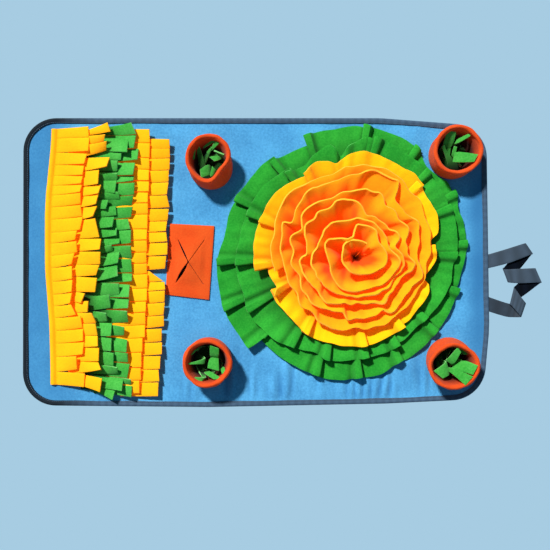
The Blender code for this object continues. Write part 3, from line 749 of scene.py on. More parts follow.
ROW_3 = (
    (128, 141, 128, 153, 2, 0), (122, 153, 121, 160, -1, 4), (118.5, 161, 117, 171, 0, 0),
    (118, 174, 117, 181, -4, -2), (116.5, 181, 115, 193, 0, 1), (119, 192, 120, 199, -2, 2),
    (108.5, 200, 106, 209, 2, 5), (116, 206, 116.5, 215, -2, -2), (114, 217, 113, 227, 0, 2),
    (117, 228, 117, 235.5, -2, -2), (120, 238, 120, 243.5, -3, 0), (112, 245, 113, 250.5, -4, 0),
    (119.5, 252, 118.5, 263, 0, 2), (117, 265, 118.5, 276, 1, -2), (119.5, 283.5, 119.5, 295, 0, 2),
    (110, 294.5, 110.5, 307.5, 3, 0), (107, 313, 107, 321, 0, 3), (112, 323.5, 111.5, 336, -1, 0),
    (111.5, 338.5, 111.5, 351, 0, -2), (114, 353, 113.5, 366, 0, 2), (118, 367, 118, 374, 0, 0),
    (123, 380, 122.5, 390.5, 1, 0), (115, 391, 112.5, 400, -2, 0),
)
ROW_4 = (
    (131, 122.5, 136, 134, 3, 0), (136, 135, 134, 148, 1, 2), (138.5, 149, 138, 160, 0, 0),
    (135, 163, 133.5, 175, 1, -2), (134, 176, 134, 181, -2, 0), (135, 183, 134, 194.5, 0, 3),
    (134, 196, 131.5, 205, -1, -2), (133, 207, 131, 217, 0, 2), (128, 219, 130.5, 229, 0, -2),
    (131, 229, 131, 243, 1, 1), (131.5, 246, 131.5, 258, 0, -2), (131.5, 259, 132, 272, 0, 2),
    (132, 274, 132.5, 281, -2, 0), (129.5, 285, 129.5, 297, 0, 3), (129, 298.5, 128.5, 308, 1, 0),
    (128, 311, 128, 322, 0, -2), (125, 327, 124, 335, 1, 3), (127, 340, 127, 352, 0, 0),
    (128, 353, 128, 362, 1, 2), (130, 364, 127, 378, 0, -2), (131.5, 379, 131, 385, -1, 0),
    (132, 386, 131.5, 397, 0, 1),
)
ROW_5 = (
    (149.5, 129.5, 150, 142.5), (150, 143.5, 149.5, 157.5), (149.5, 158.5, 149.5, 169),
    (149, 170, 149, 180.5), (149, 181.5, 149, 191.5), (148, 192.5, 148, 202.5),
    (148, 203.5, 148, 213.5), (147.5, 214.5, 147.5, 228.5), (147, 229.5, 147, 239.5),
    (147, 240.5, 147, 251.5), (146.5, 252.5, 146.5, 262.5), (147, 263.5, 147, 273),
    (147.5, 274, 147.5, 287.5), (147, 288.5, 147, 300.5), (146, 301.5, 146, 311.5),
    (145.5, 312.5, 145.5, 324), (145, 325, 145, 337), (142.5, 338, 142.5, 351.5),
    (141.5, 352.5, 141.5, 367), (141, 368, 141, 379.5), (139.5, 380.5, 139.5, 393),
)
ROW_6 = (
    (169.5, 139.5, 169.8, 148.2), (169.8, 148.8, 170, 157.5), (170, 158.5, 169.5, 169.5),
    (169, 170.5, 168.5, 181.5), (168.5, 182.5, 167, 194.5), (167, 195.5, 169.5, 207),
    (169, 209, 167.5, 220.5), (167, 221.5, 166, 231), (166, 232, 167.5, 241.3),
    (167.5, 242.5, 167.5, 254.5), (166.5, 256, 165, 268.5), (149, 271, 163, 281),
    (164.5, 282, 165.5, 289.5), (165, 290.5, 164.5, 301.5), (165, 302.5, 163.5, 314.5),
    (164, 315.5, 164, 326), (162, 328.5, 161.5, 341), (162, 342.5, 162, 354),
    (160.5, 356, 160, 368.5), (158.5, 369.5, 159.5, 381), (158.5, 382.5, 158, 396),
)
HEM_1 = ((129, 52), (180, 48), (195, 46.5), (220, 45.5), (260, 45.5), (300, 48), (330, 50),
         (385, 51))
HEM_WIDTH = 6.0          # from the hem of row 1 to its slits, in pixels
SLITS_1 = tuple((v, u + HEM_WIDTH) for v, u in HEM_1)
FRINGE = (
    # tips, cloth, hem and slits as a line (v, u) or one u, first and last root v, lift, tousle
    (ROW_1, "yellow", HEM_1, SLITS_1, (129, 384.5), 9.5, 0.5),
    (ROW_2, "yellow", 68.2, 72.8, (134, 384), 14.0, 0.9),
    (ROW_3, "green", 80.9, 85.6, (134, 389), 11.0, 1.6),
    (ROW_4, "green", 93.7, 98.3, (128, 393), 12.0, 1.6),
    (ROW_5, "yellow", 106.4, 111.1, (129.5, 393), 9.0, 0.5),
    (ROW_6, "yellow", 120.4, 125.0, (139, 396), 6.5, 0.5),
)

# %% Cutting and laying a row
STRAND_CELLS = 5         # faces across a strand
STRAND_STEPS = 14        # faces along it
BAND_STEPS = 5           # faces across the sewn band
SLIT = 0.3               # width of a slit where it starts
BAND_SWELL = (0.15, 9)   # height and width of the sewn band's puckers
HUMP = 2.4               # how far a strand rises right behind its slit
HUMP_REACH = 7.0         # and how far along it that takes
BOW = (0.5, 0.25)        # where it bends: shares of the way to its tip, along X and along Y
LATE = {"yellow": 1.3, "green": 2.4}  # how late along its length it rises
ON_EDGE = 12.0           # the most that a strand is turned up on its edge, in mm
TURN_SHARE = 0.8         # share of the width hidden in the photograph that is turned up
TURN_LATE = 1.5          # how late along its length it turns
TURN_LIFT = 0.3          # and how far that lifts it
OWN_LIFT = 1.2           # how much the strands of a tousled row differ in lift and in roll
OWN_ROLL = 1.6
ARCH = (0.5, 0.5)        # a strand is arched across: height, and what tousling adds
WAVES = 0.5              # height of the waves along a tousled strand
ROOT_PULL = 0.3          # how far the even spacing wins over the tips' own spacing
HEM_SHAPE = (0.3, 2.3, 2.7, 2.4, 0.7, 0.0)  # heights across the folded hem of row 1
FRINGE_UV = 0.07         # width of a row's UV map, in metres
COVERED_SHARE = 0.62     # share of a strand that lies in the shade of the row above it


def root_lines(tips, first, last):
    """Where the slits start: between the tips, drawn towards an even spacing."""
    roots = [first]
    for k in range(1, len(tips)):
        between = (tips[k - 1][3] + tips[k][1]) / 2
        roots.append(mix(between, mix(first, last, k / len(tips)), ROOT_PULL))
    roots.append(last)
    return roots


def line_at(line, v):
    """Where a line crosses the height v of the picture: it is one u all along, or a curve."""
    return line if isinstance(line, float) else through(line, v)


def make_fringe(number, tips, cloth, hem, slits, ends, lift, tousle):
    roots = root_lines(tips, *ends)
    per_strand = STRAND_CELLS + 1
    columns = len(tips) * per_strand - 1

    def place(column, row):
        strand, cell = divmod(column, per_strand)
        across = cell / STRAND_CELLS
        gap = SLIT / PIXEL / 2
        upper = roots[strand] + (gap if strand else 0)
        lower = roots[strand + 1] - (gap if strand < len(tips) - 1 else 0)
        v = mix(upper, lower, across)
        root = seen_at(line_at(slits, v), v, SEWN_Z)
        if row <= BAND_STEPS:
            left = seen_at(line_at(hem, v), v, SEWN_Z)
            spot = left.lerp(root, row / BAND_STEPS)
            height = SEWN_Z + (HEM_SHAPE[row] if number == 1 else 0.0)
            height += BAND_SWELL[0] * swell(spot.x, spot.y, BAND_SWELL[1], 1.0)
            return spot.x, spot.y, height
        share = (row - BAND_STEPS) / STRAND_STEPS
        u0, v0, u1, v1, *extra = tips[strand]
        more, roll = extra or (0.0, 0.0)
        own_lift = lift + more + OWN_LIFT * tousle * sway(strand, number)
        own_roll = roll + OWN_ROLL * tousle * sway(strand, number + 7)
        tip = seen_at(mix(u0, u1, across), mix(v0, v1, across), SEWN_Z + HUMP + own_lift)
        length = (tip - root).length
        # What the photograph doesn't show of a strand's width is turned up on its edge.
        full = (lower - upper) * PIXEL
        shown = (seen_at(u1, v1) - seen_at(u0, v0)).length
        turned = TURN_SHARE * math.sqrt(max(full * full - shown * shown, 0.0))
        turned = math.copysign(min(turned, ON_EDGE), sway(strand, number + 3)) * min(tousle, 1.0)
        bend = Vector((mix(root.x, tip.x, BOW[0]), mix(root.y, tip.y, BOW[1])))
        spot = root.lerp(bend, share).lerp(bend.lerp(tip, share), share)
        rise = HUMP * (1 - math.exp(-share * length / HUMP_REACH))
        rise += (own_lift + TURN_LIFT * abs(turned)) * share ** LATE[cloth]
        rise += turned * (across - 0.5) * share ** TURN_LATE
        rise += own_roll * (across - 0.5) * share
        arch = ARCH[0] + ARCH[1] * tousle
        rise += arch * (1 - (2 * across - 1) ** 2) * math.sin(math.pi * share * 0.8)
        rise += WAVES * tousle * swell(share * 3, strand * 5.3 + across, 1.0, number)
        return spot.x, spot.y, SEWN_Z + rise

    def keep(column, row):
        return row < BAND_STEPS or column % per_strand != STRAND_CELLS

    def shade(column, row):
        return 1 - smooth((row - BAND_STEPS) / STRAND_STEPS / COVERED_SHARE)

    length = (ends[1] - ends[0]) * PIXEL
    bm = cloth_grid(columns, BAND_STEPS + STRAND_STEPS, place, (length * MM, FRINGE_UV), keep,
                    shade)
    strip, area = dress(f"fringe_{number}", bm, cloth, cloth + "_edge", FLEECE)
    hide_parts(f"fringe_row_{number}")


for number, row in enumerate(FRINGE, 1):
    make_fringe(number, *row)

# %% [markdown]
# ## The tubs
# Each tub is a thick felt cup with a soft rolled rim, and none stands straight. A profile is
# spun round an axis, and its rings are then drawn between two outlines: the foot on the mat, and
# the crest of the rim where the photograph shows it, given in eight directions.

# %% Tub shapes
CUPS = (
    # name, u and v of the middle of the crest, its radius (pixels) at E, NE, N, NW, W, SW, S, SE,
    # X and Y of the foot, radius of the foot
    ("top_left", 207.7, 157.0, (20.5, 21.5, 21.5, 20.5, 20.5, 21.5, 24.0, 17.5), -76, 161, 36),
    ("bottom_left", 207.0, 363.5, (23.0, 22.0, 22.0, 22.5, 22.5, 22.5, 22.5, 21.5), -80, -168, 38),
    ("top_right", 457.8, 149.8, (24.0, 23.5, 23.5, 22.0, 21.5, 22.5, 22.5, 23.0), 337, 182, 39),
    ("bottom_right", 454.0, 364.5, (24.5, 20.5, 19.5, 19.5, 23.0, 23.5, 23.0, 24.0), 332, -168, 38),
)
CUP_SECTION = (
    # share of the foot's radius, share of the crest's radius, outward by mm, height: from the
    # middle of the underside out, up the wall, round the rim, down the inside and back
    (0.0, 0.0, 0.0, 0.3), (0.90, 0.0, 0.0, 0.3), (0.98, 0.0, 0.0, 0.9), (1.0, 0.0, 0.5, 2.6),
    (0.86, 0.14, 1.6, 9.0), (0.6, 0.4, 2.2, 19.0), (0.3, 0.7, 2.4, 29.0), (0.08, 0.92, 2.8, 36.0),
    (0.0, 1.0, 3.6, 39.5), (0.0, 1.0, 3.8, 42.5), (0.0, 1.0, 3.3, 45.0), (0.0, 1.0, 1.9, 46.6),
    (0.0, 1.0, 0.0, 47.0), (0.0, 1.0, -1.9, 46.0), (0.0, 1.0, -3.1, 43.6), (0.0, 1.0, -3.8, 40.6),
    (0.03, 0.97, -4.4, 37.0), (0.2, 0.8, -6.2, 30.0), (0.5, 0.5, -8.8, 20.0),
    (0.8, 0.2, -11.0, 9.0), (0.64, 0.0, 0.0, 4.6), (0.58, 0.0, 0.0, 3.5), (0.0, 0.0, 0.0, 3.4),
)
CUP_MOUTH = 14           # from this row of the section on, the wall is inside the tub
CUP_DARK = 26.0          # depth below the rim where no light is left, in mm
CUP_SIDES = 72
CUP_HEIGHT = 47.0        # of the rim's crest above the mat
CREST_Z = PANEL_TOP + CUP_HEIGHT
CUP_WELD = 1e-4          # mm
CUP_DENT = (2.0, 16)     # how far the wall wanders in and out near the rim, and how slowly
CUP_TILT = 1.5           # how far the rim wanders up and down


def compass(values, angle):
    """A smooth closed curve through eight values, one every 45 degrees from E."""
    spot = (math.degrees(angle) % 360) / 45
    k = int(spot)
    return curve(*(values[(k + shift) % 8] for shift in (-1, 0, 1, 2)), spot - k)


def make_cup(number, name, u, v, crest, foot_x, foot_y, foot):
    bm = bmesh.new()
    last = len(CUP_SECTION) - 1
    chain = [bm.verts.new((0 if row == last else row, 0, row)) for row in range(last + 1)]
    for lower, upper in zip(chain, chain[1:]):
        bm.edges.new((lower, upper))
    bmesh.ops.spin(bm, geom=bm.verts[:] + bm.edges[:], axis=(0, 0, 1), cent=(0, 0, 0),
                   angle=math.tau, steps=CUP_SIDES, use_merge=True)
    bmesh.ops.remove_doubles(bm, verts=bm.verts, dist=CUP_WELD)
    depth = bm.verts.layers.float.new("depth")
    for vert in bm.verts:
        foot_share, crest_share, outward, height = CUP_SECTION[round(vert.co.z)]
        if round(vert.co.z) >= CUP_MOUTH:
            vert[depth] = smooth((CUP_SECTION[CUP_MOUTH][3] - height) / CUP_DARK)
        angle = math.atan2(vert.co.y, vert.co.x)
        heading = Vector((math.cos(angle), math.sin(angle)))
        reach = compass(crest, angle)
        top = seen_at(u + reach * heading.x, v - reach * heading.y, CREST_Z)
        axis = Vector((foot_x, foot_y))
        up = height / CUP_HEIGHT
        if crest_share:
            spot = (axis + heading * foot) * foot_share + top * crest_share
            spot = spot / (foot_share + crest_share)
        else:
            spot = axis + heading * foot * foot_share
        spot = spot + heading * outward
        fold = swell(spot.x * up, spot.y * up, CUP_DENT[1], number)
        spot = spot + heading * fold * CUP_DENT[0] * up
        lift = CUP_TILT * swell(heading.x * 2, heading.y * 2, 1.0, number + 5) * up
        vert.co = Vector((spot.x, spot.y, PANEL_TOP + height + lift)) * MM
    cup = dress("tub_" + name, bm, "felt")[0]
    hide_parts("cup_" + name)


for number, cup in enumerate(CUPS):
    make_cup(number, *cup)

# %% [markdown]
# ## The leaves in the tubs
# In each tub stands a slit strip of green fleece. It is sewn down as a small ring on the floor,
# and its leaves climb the wall and curl over near the rim. The table gives two edges of each
# leaf as the photograph shows them: its tip, and the bend below it.

# %% Leaf shapes
LEAVES = {
    # u, v and u, v of the tip's two corners, height, then the same for the bend below the tip
    "top_left": (
        (214, 150.5, 224, 154.5, 42, 217, 152.5, 223, 156, 34),
        (209, 157, 214.5, 161.5, 38, 222, 156, 221, 159, 30),
        (208.5, 154, 206.5, 152, 26, 221, 141.5, 217, 141, 40),
        (203.5, 148.5, 203, 146.5, 26, 216, 142.5, 214, 141.5, 38),
        (192.5, 160, 194.5, 159, 30, 195.5, 144, 198.5, 144.5, 34),
        (200, 169.5, 201, 178, 42, 209.5, 165, 210, 175, 34),
        (212, 166, 210, 176.5, 40, 216, 170, 214, 175, 36),
    ),
    "bottom_left": (
        (210, 345, 219, 348.5, 42, 210.5, 356, 217.5, 357, 32),
        (207.5, 368, 219, 371, 42, 210.5, 358, 218.5, 359.5, 34),
        (187, 363.5, 188.5, 364.5, 40, 205, 358, 204, 364, 28),
        (223, 379, 214, 379.5, 42, 210, 371.5, 204, 372.5, 34),
        (193.5, 380.5, 195, 377, 40, 203, 380, 206, 377, 36),
        (191, 354.5, 192, 355, 38, 196.5, 348.5, 197.5, 349.5, 36),
        (225.5, 373, 222, 374, 40, 224, 367, 221, 369, 32),
    ),
    "top_right": (
        (447, 130.5, 456, 132, 40, 442, 147, 452, 145, 26),
        (478, 154.5, 474, 162, 48, 455, 152.5, 453, 162, 38),
        (470, 133, 470.5, 136, 42, 457, 140, 456, 144, 30),
        (441.5, 147, 444, 145, 34, 445, 156, 448, 153, 24),
        (449, 129.5, 459, 130.5, 34, 447, 134, 455, 136, 24),
        (448, 137, 452, 139, 30, 446, 153, 450, 152, 20),
        (454, 146, 457, 147, 26, 452, 157, 455, 158, 18),
    ),
    "bottom_right": (
        (457.5, 347, 461, 352, 42, 446, 360, 452, 364, 34),
        (433.5, 371, 442.5, 378.5, 40, 446, 361.5, 449, 374, 32),
        (478, 365.5, 473, 375, 50, 462, 361, 452, 368, 38),
        (473, 376.5, 465.5, 385.5, 50, 451, 367.5, 450, 372, 38),
        (463, 347, 468, 354, 34, 458, 349, 463, 354, 26),
        (456, 366, 462, 360, 30, 449, 365, 455, 358, 22),
        (446, 376, 440, 378, 32, 444, 371, 438, 372, 24),
    ),
}
LEAF_CELLS = 4           # faces across a leaf
LEAF_STEPS = 12          # faces along it
LEAF_WIDTH = 0.86        # share of the ring's room that the leaves take
LEAF_DARK = (0.42, 0.72)  # shares of a leaf's length between which it comes out of the dark
RING_INNER = 5.0         # radii of the ring on the floor of the tub
RING = 11.0
RING_Z = PANEL_TOP + CUP_SECTION[-1][3] + CLEAR + FLEECE / 2
LEAF_FOOT = (0.62, 2.0)  # where a leaf rises from the floor: share of the foot's radius, rise
LEAF_UV = (0.1, 0.06)    # size of its UV map, in metres


def glide(path, share):
    """A smooth run through the points of a short path."""
    last = len(path) - 1
    spot = min(max(share, 0.0), 1.0) * last
    k = min(int(spot), last - 1)
    return curve(path[max(k - 1, 0)], path[k], path[k + 1], path[min(k + 2, last)], spot - k)


def make_leaves(name, leaves, foot_x, foot_y, foot):
    centre = Vector((foot_x, foot_y))
    per_leaf = LEAF_CELLS + 1
    roots = []
    for leaf in leaves:
        bend = (seen_at(leaf[5], leaf[6], leaf[9]) + seen_at(leaf[7], leaf[8], leaf[9])) / 2
        roots.append(math.atan2(bend.y - centre.y, bend.x - centre.x) % math.tau)
    order = sorted(range(len(leaves)), key=lambda k: roots[k])
    step = math.tau / len(leaves)
    first = roots[order[0]]

    def place(column, row):
        slot, cell = divmod(column % (per_leaf * len(leaves)), per_leaf)
        across = cell / LEAF_CELLS
        angle = first + step * (slot + LEAF_WIDTH * (across - 0.5))
        heading = Vector((math.cos(angle), math.sin(angle)))
        inner = centre + heading * RING_INNER
        ring = centre + heading * RING
        if row == 0:
            return inner.x, inner.y, RING_Z
        if row == 1:
            return ring.x, ring.y, RING_Z
        leaf = leaves[order[slot]]
        tip_u, tip_v, end_u, end_v, tip_z = leaf[:5]
        bend_u, bend_v, bow_u, bow_v, bend_z = leaf[5:]
        tip = seen_at(mix(tip_u, end_u, across), mix(tip_v, end_v, across), tip_z)
        bend = seen_at(mix(bend_u, bow_u, across), mix(bend_v, bow_v, across), bend_z)
        low = centre + heading * foot * LEAF_FOOT[0]
        path = (Vector((ring.x, ring.y, RING_Z)), Vector((low.x, low.y, RING_Z + LEAF_FOOT[1])),
                Vector((bend.x, bend.y, bend_z)), Vector((tip.x, tip.y, tip_z)))
        spot = glide(path, (row - 1) / LEAF_STEPS)
        return spot.x, spot.y, spot.z

    def keep(column, row):
        return row == 0 or column % per_leaf != LEAF_CELLS

    def shade(column, row):
        start, end = LEAF_DARK
        return 1 - smooth(((row - 1) / LEAF_STEPS - start) / (end - start))

    bm = cloth_grid(per_leaf * len(leaves), LEAF_STEPS + 1, place, LEAF_UV, keep, shade)
    piece, area = dress("leaves_in_" + name, bm, "green", "green_edge", FLEECE)
    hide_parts("leaves_" + name)


for name, u, v, crest, foot_x, foot_y, foot in CUPS:
    make_leaves(name, LEAVES[name], foot_x, foot_y, foot)

# %% [markdown]
# ## The slit pocket
# A patch of fleece is sewn down round its edge, with a cross cut in it. The four flaps stand a
# little towards the middle, and one slit gapes where fingers have been in it.

# %% Pocket
POCKET_CORNERS = ((-147, 66), (-71, 62), (-80, -65), (-155, -56))
POCKET_SLIT_ENDS = ((-133, 38), (-88, 38), (-90, -38), (-137, -35))
POCKET_CENTRE = (-115, 0)
POCKET_SLIT_WIDTHS = (2.6, 0.9, 0.5, 5.5)
POCKET_SLIT_START = 0.8  # width of a slit at its outer end
POCKET_FLAP_RISE = (7.0, 6.5, 8.0, 8.0)  # height of each flap's tip
POCKET_UV = (0.3, 0.04)  # size of its UV map, in metres
POCKET_BORDER = 3        # faces between the sewn edge and the slits' ends
POCKET_SWELL = (0.35, 12)  # height and width of its puckers
BORDER_RISE = 0.5
CORNER_GAP = 0.03        # share of a side between its corner and the first column of the flap
FLAP_CELLS = 12
FLAP_ROWS = 12
FLAP_END = 0.97          # share of the way to the pocket's middle that a flap's tip reaches
FLAP_BULGE = 2.0


def make_pocket():
    corners = [Vector(c) for c in POCKET_CORNERS]
    ends = [Vector(e) for e in POCKET_SLIT_ENDS]
    centre = Vector(POCKET_CENTRE)
    per_flap = FLAP_CELLS + 2

    def slit_side(slit, share, side):
        across = (centre - ends[slit]).normalized().orthogonal()
        wider = POCKET_SLIT_WIDTHS[slit] - POCKET_SLIT_START
        opening = POCKET_SLIT_START + wider * math.sin(math.pi * min(share, 0.9))
        return ends[slit].lerp(centre, share) + across * side * opening / 2

    def place(column, row):
        flap, step = divmod(column % (4 * per_flap), per_flap)
        after = (flap + 1) % 4
        if row <= POCKET_BORDER:
            if step == per_flap - 1:
                edge = corners[after]
                inner = ends[after] + (ends[after] - centre).normalized()
            else:
                along = CORNER_GAP + (1 - 2 * CORNER_GAP) * step / FLAP_CELLS
                edge = corners[flap].lerp(corners[after], along)
                left = slit_side(flap, 0.0, 1)
                inner = left.lerp(slit_side(after, 0.0, -1), step / FLAP_CELLS)
            spot = edge.lerp(inner, row / POCKET_BORDER)
            rise = BORDER_RISE * smooth(row / POCKET_BORDER)
            rise += POCKET_SWELL[0] * swell(spot.x, spot.y, POCKET_SWELL[1], 4.0) * min(row, 1)
            return spot.x, spot.y, SEWN_Z + rise
        share = FLAP_END * ((row - POCKET_BORDER) / (FLAP_ROWS - POCKET_BORDER)) ** 0.8
        spot = slit_side(flap, share, 1).lerp(slit_side(after, share, -1), step / FLAP_CELLS)
        bulge = math.sin(math.pi * step / FLAP_CELLS) * (1 - share) * FLAP_BULGE
        rise = BORDER_RISE + POCKET_FLAP_RISE[flap] * share ** 1.2 + bulge
        rise += POCKET_SWELL[0] * swell(spot.x, spot.y, POCKET_SWELL[1], 4.0)
        return spot.x, spot.y, SEWN_Z + rise

    def keep(column, row):
        return row < POCKET_BORDER or column % per_flap < FLAP_CELLS

    bm = cloth_grid(4 * per_flap, FLAP_ROWS, place, POCKET_UV, keep)
    piece, area = dress("pocket_cloth", bm, "orange", "orange_edge", FLEECE)
    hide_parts("slit_pocket")


make_pocket()

# %% [markdown]
# ## The frills
# Three rings of fleece are laid in knife pleats round the flower's middle, two green ones below
# and a yellow one on top. A pleat rises to its corner, folds back under itself and starts again,
# so three layers lie on each other at every fold. The table gives points of the free edge as the
# photograph shows them, and the folds are worked out from it.

# %% Pleats
FOLD = "fold"
TIERS = (
    # piece, node, cloth, its colour slot, sewn radius, height of the free edge's low places,
    # then the free edge, counter-clockwise: u, v, rise in mm, and where the cloth folds back
    # under itself
    ("leaf_frill_lower", "leaf_tier_lower", "leaf", "green", 138, 6.0, (
        (217, 264.7, 12, FOLD), (217.5, 276, 1), (220, 294, 4), (223.7, 311, 12, FOLD),
        (228, 318, 1), (238, 334, 3), (248.7, 348.8, 8), (257, 343, 7), (263.7, 338, 11, FOLD),
        (269.5, 348, 1), (282, 358.5, 4), (296, 366.5, 7), (318.7, 376.3, 12, FOLD),
        (325, 378.5, 1), (340, 380, 4), (362, 378, 12, FOLD), (367, 377.5, 1), (380, 374.5, 4),
        (393, 366.5, 6), (402.8, 361, 12, FOLD), (409, 358, 1), (426, 344, 4),
        (438.7, 331, 12, FOLD), (442, 325, 1), (452, 306, 4), (461, 290, 12, FOLD),
        (459, 281, 2), (464, 262, 4), (468.7, 241, 12, FOLD), (465, 229, 1), (458.7, 211, 5),
        (457, 190, 12, FOLD), (448, 183, 2), (437, 176, 4), (427, 167, 5), (417, 144.7, 12, FOLD),
        (404, 139, 2), (385, 131.5, 4), (372, 127, 3), (365.3, 123.8, 12, FOLD), (356, 126, 1),
        (334, 129.5, 3), (315, 132.5, 3), (304.5, 134.7, 12, FOLD), (303, 147, 1), (290, 153, 3),
        (270.3, 161.5, 11, FOLD), (263, 164, 1), (248, 182, 4), (233.7, 199.7, 12, FOLD),
        (231.5, 208, 1), (225, 234, 3), (218, 256, 6))),
    ("leaf_frill_upper", "leaf_tier_upper", "leaf", "green", 116, 14.5, (
        (235.3, 264.7, 11, FOLD), (236.5, 273, 1), (242, 290, 3), (248.3, 312.5, 11, FOLD),
        (252, 319, 1), (262, 329, 3), (276, 341, 6), (293, 348, 12, FOLD), (299, 349, 1),
        (313, 352, 4), (328.7, 361, 11, FOLD), (333, 361, 1), (350, 360.5, 4), (368.7, 358, 11, FOLD),
        (373, 356.5, 1), (387, 352, 4), (400.3, 346.3, 11, FOLD), (404, 340, 1), (415.3, 328, 3),
        (428.7, 318, 11, FOLD), (431, 314, 1), (440.3, 303, 6), (447, 291, 4), (451, 283, 2),
        (452.5, 268, 3), (458.7, 253, 11, FOLD), (457.5, 245, 1), (457, 232, 3),
        (452, 204.7, 11, FOLD), (445, 196, 1), (437, 184.7, 3), (428.7, 168, 11, FOLD),
        (420, 163, 1), (410, 156, 3), (395.3, 145.5, 5), (376.2, 136.3, 11, FOLD), (368, 137, 2),
        (356, 142, 3), (347, 147.3, 10), (343, 155, -3), (339, 156, -3), (336.5, 149.7, 9),
        (329.5, 144.7, 7), (321, 149.5, 2), (312, 156.3, 3), (303, 166.5, 2), (293, 170.5, 3),
        (285.3, 172.2, 11, FOLD), (277, 176, 1), (262, 187, 3), (246.2, 214.7, 11, FOLD),
        (244, 221, 1), (239.5, 238, 3))),
    ("petal_frill", "petal_tier", "petal", "yellow", 98, 22.5, (
        (254.5, 269.7, 11, FOLD), (268.7, 273, 0), (276.5, 286.3, 4), (274.5, 296, 12, FOLD),
        (276.5, 302, 0), (284, 311, 3), (296, 323.5, 5), (307.5, 335, 12, FOLD), (313, 338, 0),
        (328.7, 343, 4), (350.3, 346.5, 5), (367, 346.3, 12, FOLD), (372, 344.5, 0),
        (388, 337, 4), (405.3, 328, 12, FOLD), (411, 318, 0), (418, 308.5, 4),
        (427.8, 296.3, 7), (428.7, 284.7, 3), (423.7, 278, 0), (428, 272, 3),
        (437, 256.3, 7), (436, 246, 12, FOLD), (431, 240.5, 0), (438, 233, 3), (438.5, 224, 4),
        (437, 214, 5), (428.7, 199.7, 6), (418.7, 181.3, 12, FOLD), (414, 173.5, 1),
        (402, 167, 4), (388.7, 159.7, 5), (377, 154.5, 3), (365.3, 151.3, 7), (350.3, 153.8, 6),
        (343.7, 158.2, 1), (336.2, 163.5, 1), (328.7, 161.3, 6), (315.3, 162.2, 6),
        (304.5, 172, 11, FOLD), (299, 178.5, 1), (283.7, 186.3, 4), (273.7, 194.7, 4),
        (263.7, 211.3, 5), (258.7, 221.3, 9, FOLD), (256.5, 230, 1), (253.5, 250, 4))),
)
TIER_STEP = 3.0          # length of one face along the free edge
TIER_ROWS = 12
UNDERCUT = 11.0          # how far a pleat folds back under itself at the free edge
TUCKED = 1.5             # and how far it is drawn in there
SEWN_SHARE = 0.15        # how much of the folds' size is left at the sewn edge
SEWN_RISE = 0.6          # height of the sewn edge above SEWN_Z
FOLD_PATH = (
    # share of the undercut ahead of the fold, share of the fold's height
    (0.11, 0.95), (0.16, 0.80), (0.10, 0.64), (-0.35, 0.52), (-0.78, 0.40), (-1.02, 0.26),
    (-1.05, 0.10),
)
FOLD_GROWTH = (1.15, 0.65)  # height of the folds against the table's, left and right
TUBE = 9.0               # each fold ends in a soft tube that stays level for this long (mm)
TUBE_SLOPE = 6.0         # and comes down over this length
VALLEY = 4.0             # depth of the soft valley that runs beside each tube
VALLEY_OFF = 18.0        # how far its middle lies from the fold
VALLEY_WIDTH = 5.0
RUFFLE = 3.0             # height of the smaller waves between the folds
FRILL_WANDER = 1.2       # how far the cloth wanders to and from the flower's middle
FRILL_BULGE = (1.6, 0.6)  # height halfway out, and the share of it that is there all round
FRILL_UV = 0.08          # width of a frill's UV map, in metres
COVERED = 7.0            # how far the dark under a fold reaches out on the next pleat
SHADED = (0.35, 0.85)    # share of the way out where a frill comes out of the upper one's shade
SHADE = 0.5              # how much deeper the colour is in that shade
HOLLOW_SHADE = 0.4       # and in the valleys and under the folds


def frill_stations(low_end, edge):
    """Places round a free edge: angle of the fold or run it belongs to, how far ahead of that
    it lies (radians), radius, height, and how much it is out of the light."""
    points = []
    for u, v, rise, *fold in edge:
        away = seen_at(u, v, low_end + rise) - Vector(FLOWER)
        angle = math.atan2(away.y, away.x)
        while points and angle < points[-1][0] - math.pi:
            angle += math.tau
        points.append((angle, away.length, rise, bool(fold)))
    first = points[0]
    points.append((first[0] + math.tau, *first[1:]))
    stations = []
    start = points[0]
    section = []
    for angle, radius, rise, folds in points[1:]:
        section.append((angle, radius, rise))
        if not folds:
            continue
        rise *= mix(*FOLD_GROWTH, smooth(math.cos(angle)))
        hidden = start[0] - UNDERCUT / start[1]
        low = min(section[-2][2], rise / 2) if len(section) > 1 else 0.0
        run = [(hidden, section[0][1] - TUCKED, 0.0)] + section[:-1] + [(angle, radius, low)]
        reach = [(place, far) for place, far, _ in run]
        lift = [(place, high) for place, _, high in run]
        count = round((angle - hidden) * radius / TIER_STEP)
        for step in range(count + 1):
            share = step / count
            at = mix(hidden, angle, share)
            beside = (angle - at) * radius
            tube = (rise - low) * smooth((TUBE + TUBE_SLOPE - beside) / TUBE_SLOPE)
            hollow = math.exp(-((beside - VALLEY_OFF) / VALLEY_WIDTH) ** 2)
            covered = smooth(1 - (at - start[0]) * radius / COVERED)
            base = mix(start[0], angle, share)
            stations.append((base, at - base, through(reach, at),
                             through(lift, at) + tube - VALLEY * hollow, max(hollow, covered)))
        for ahead, share in FOLD_PATH:
            stations.append((angle, ahead * UNDERCUT / radius, radius - TUCKED * (1 - share),
                             rise * share, smooth(1 - share)))
        start = (angle, radius)
        section = []
    return stations


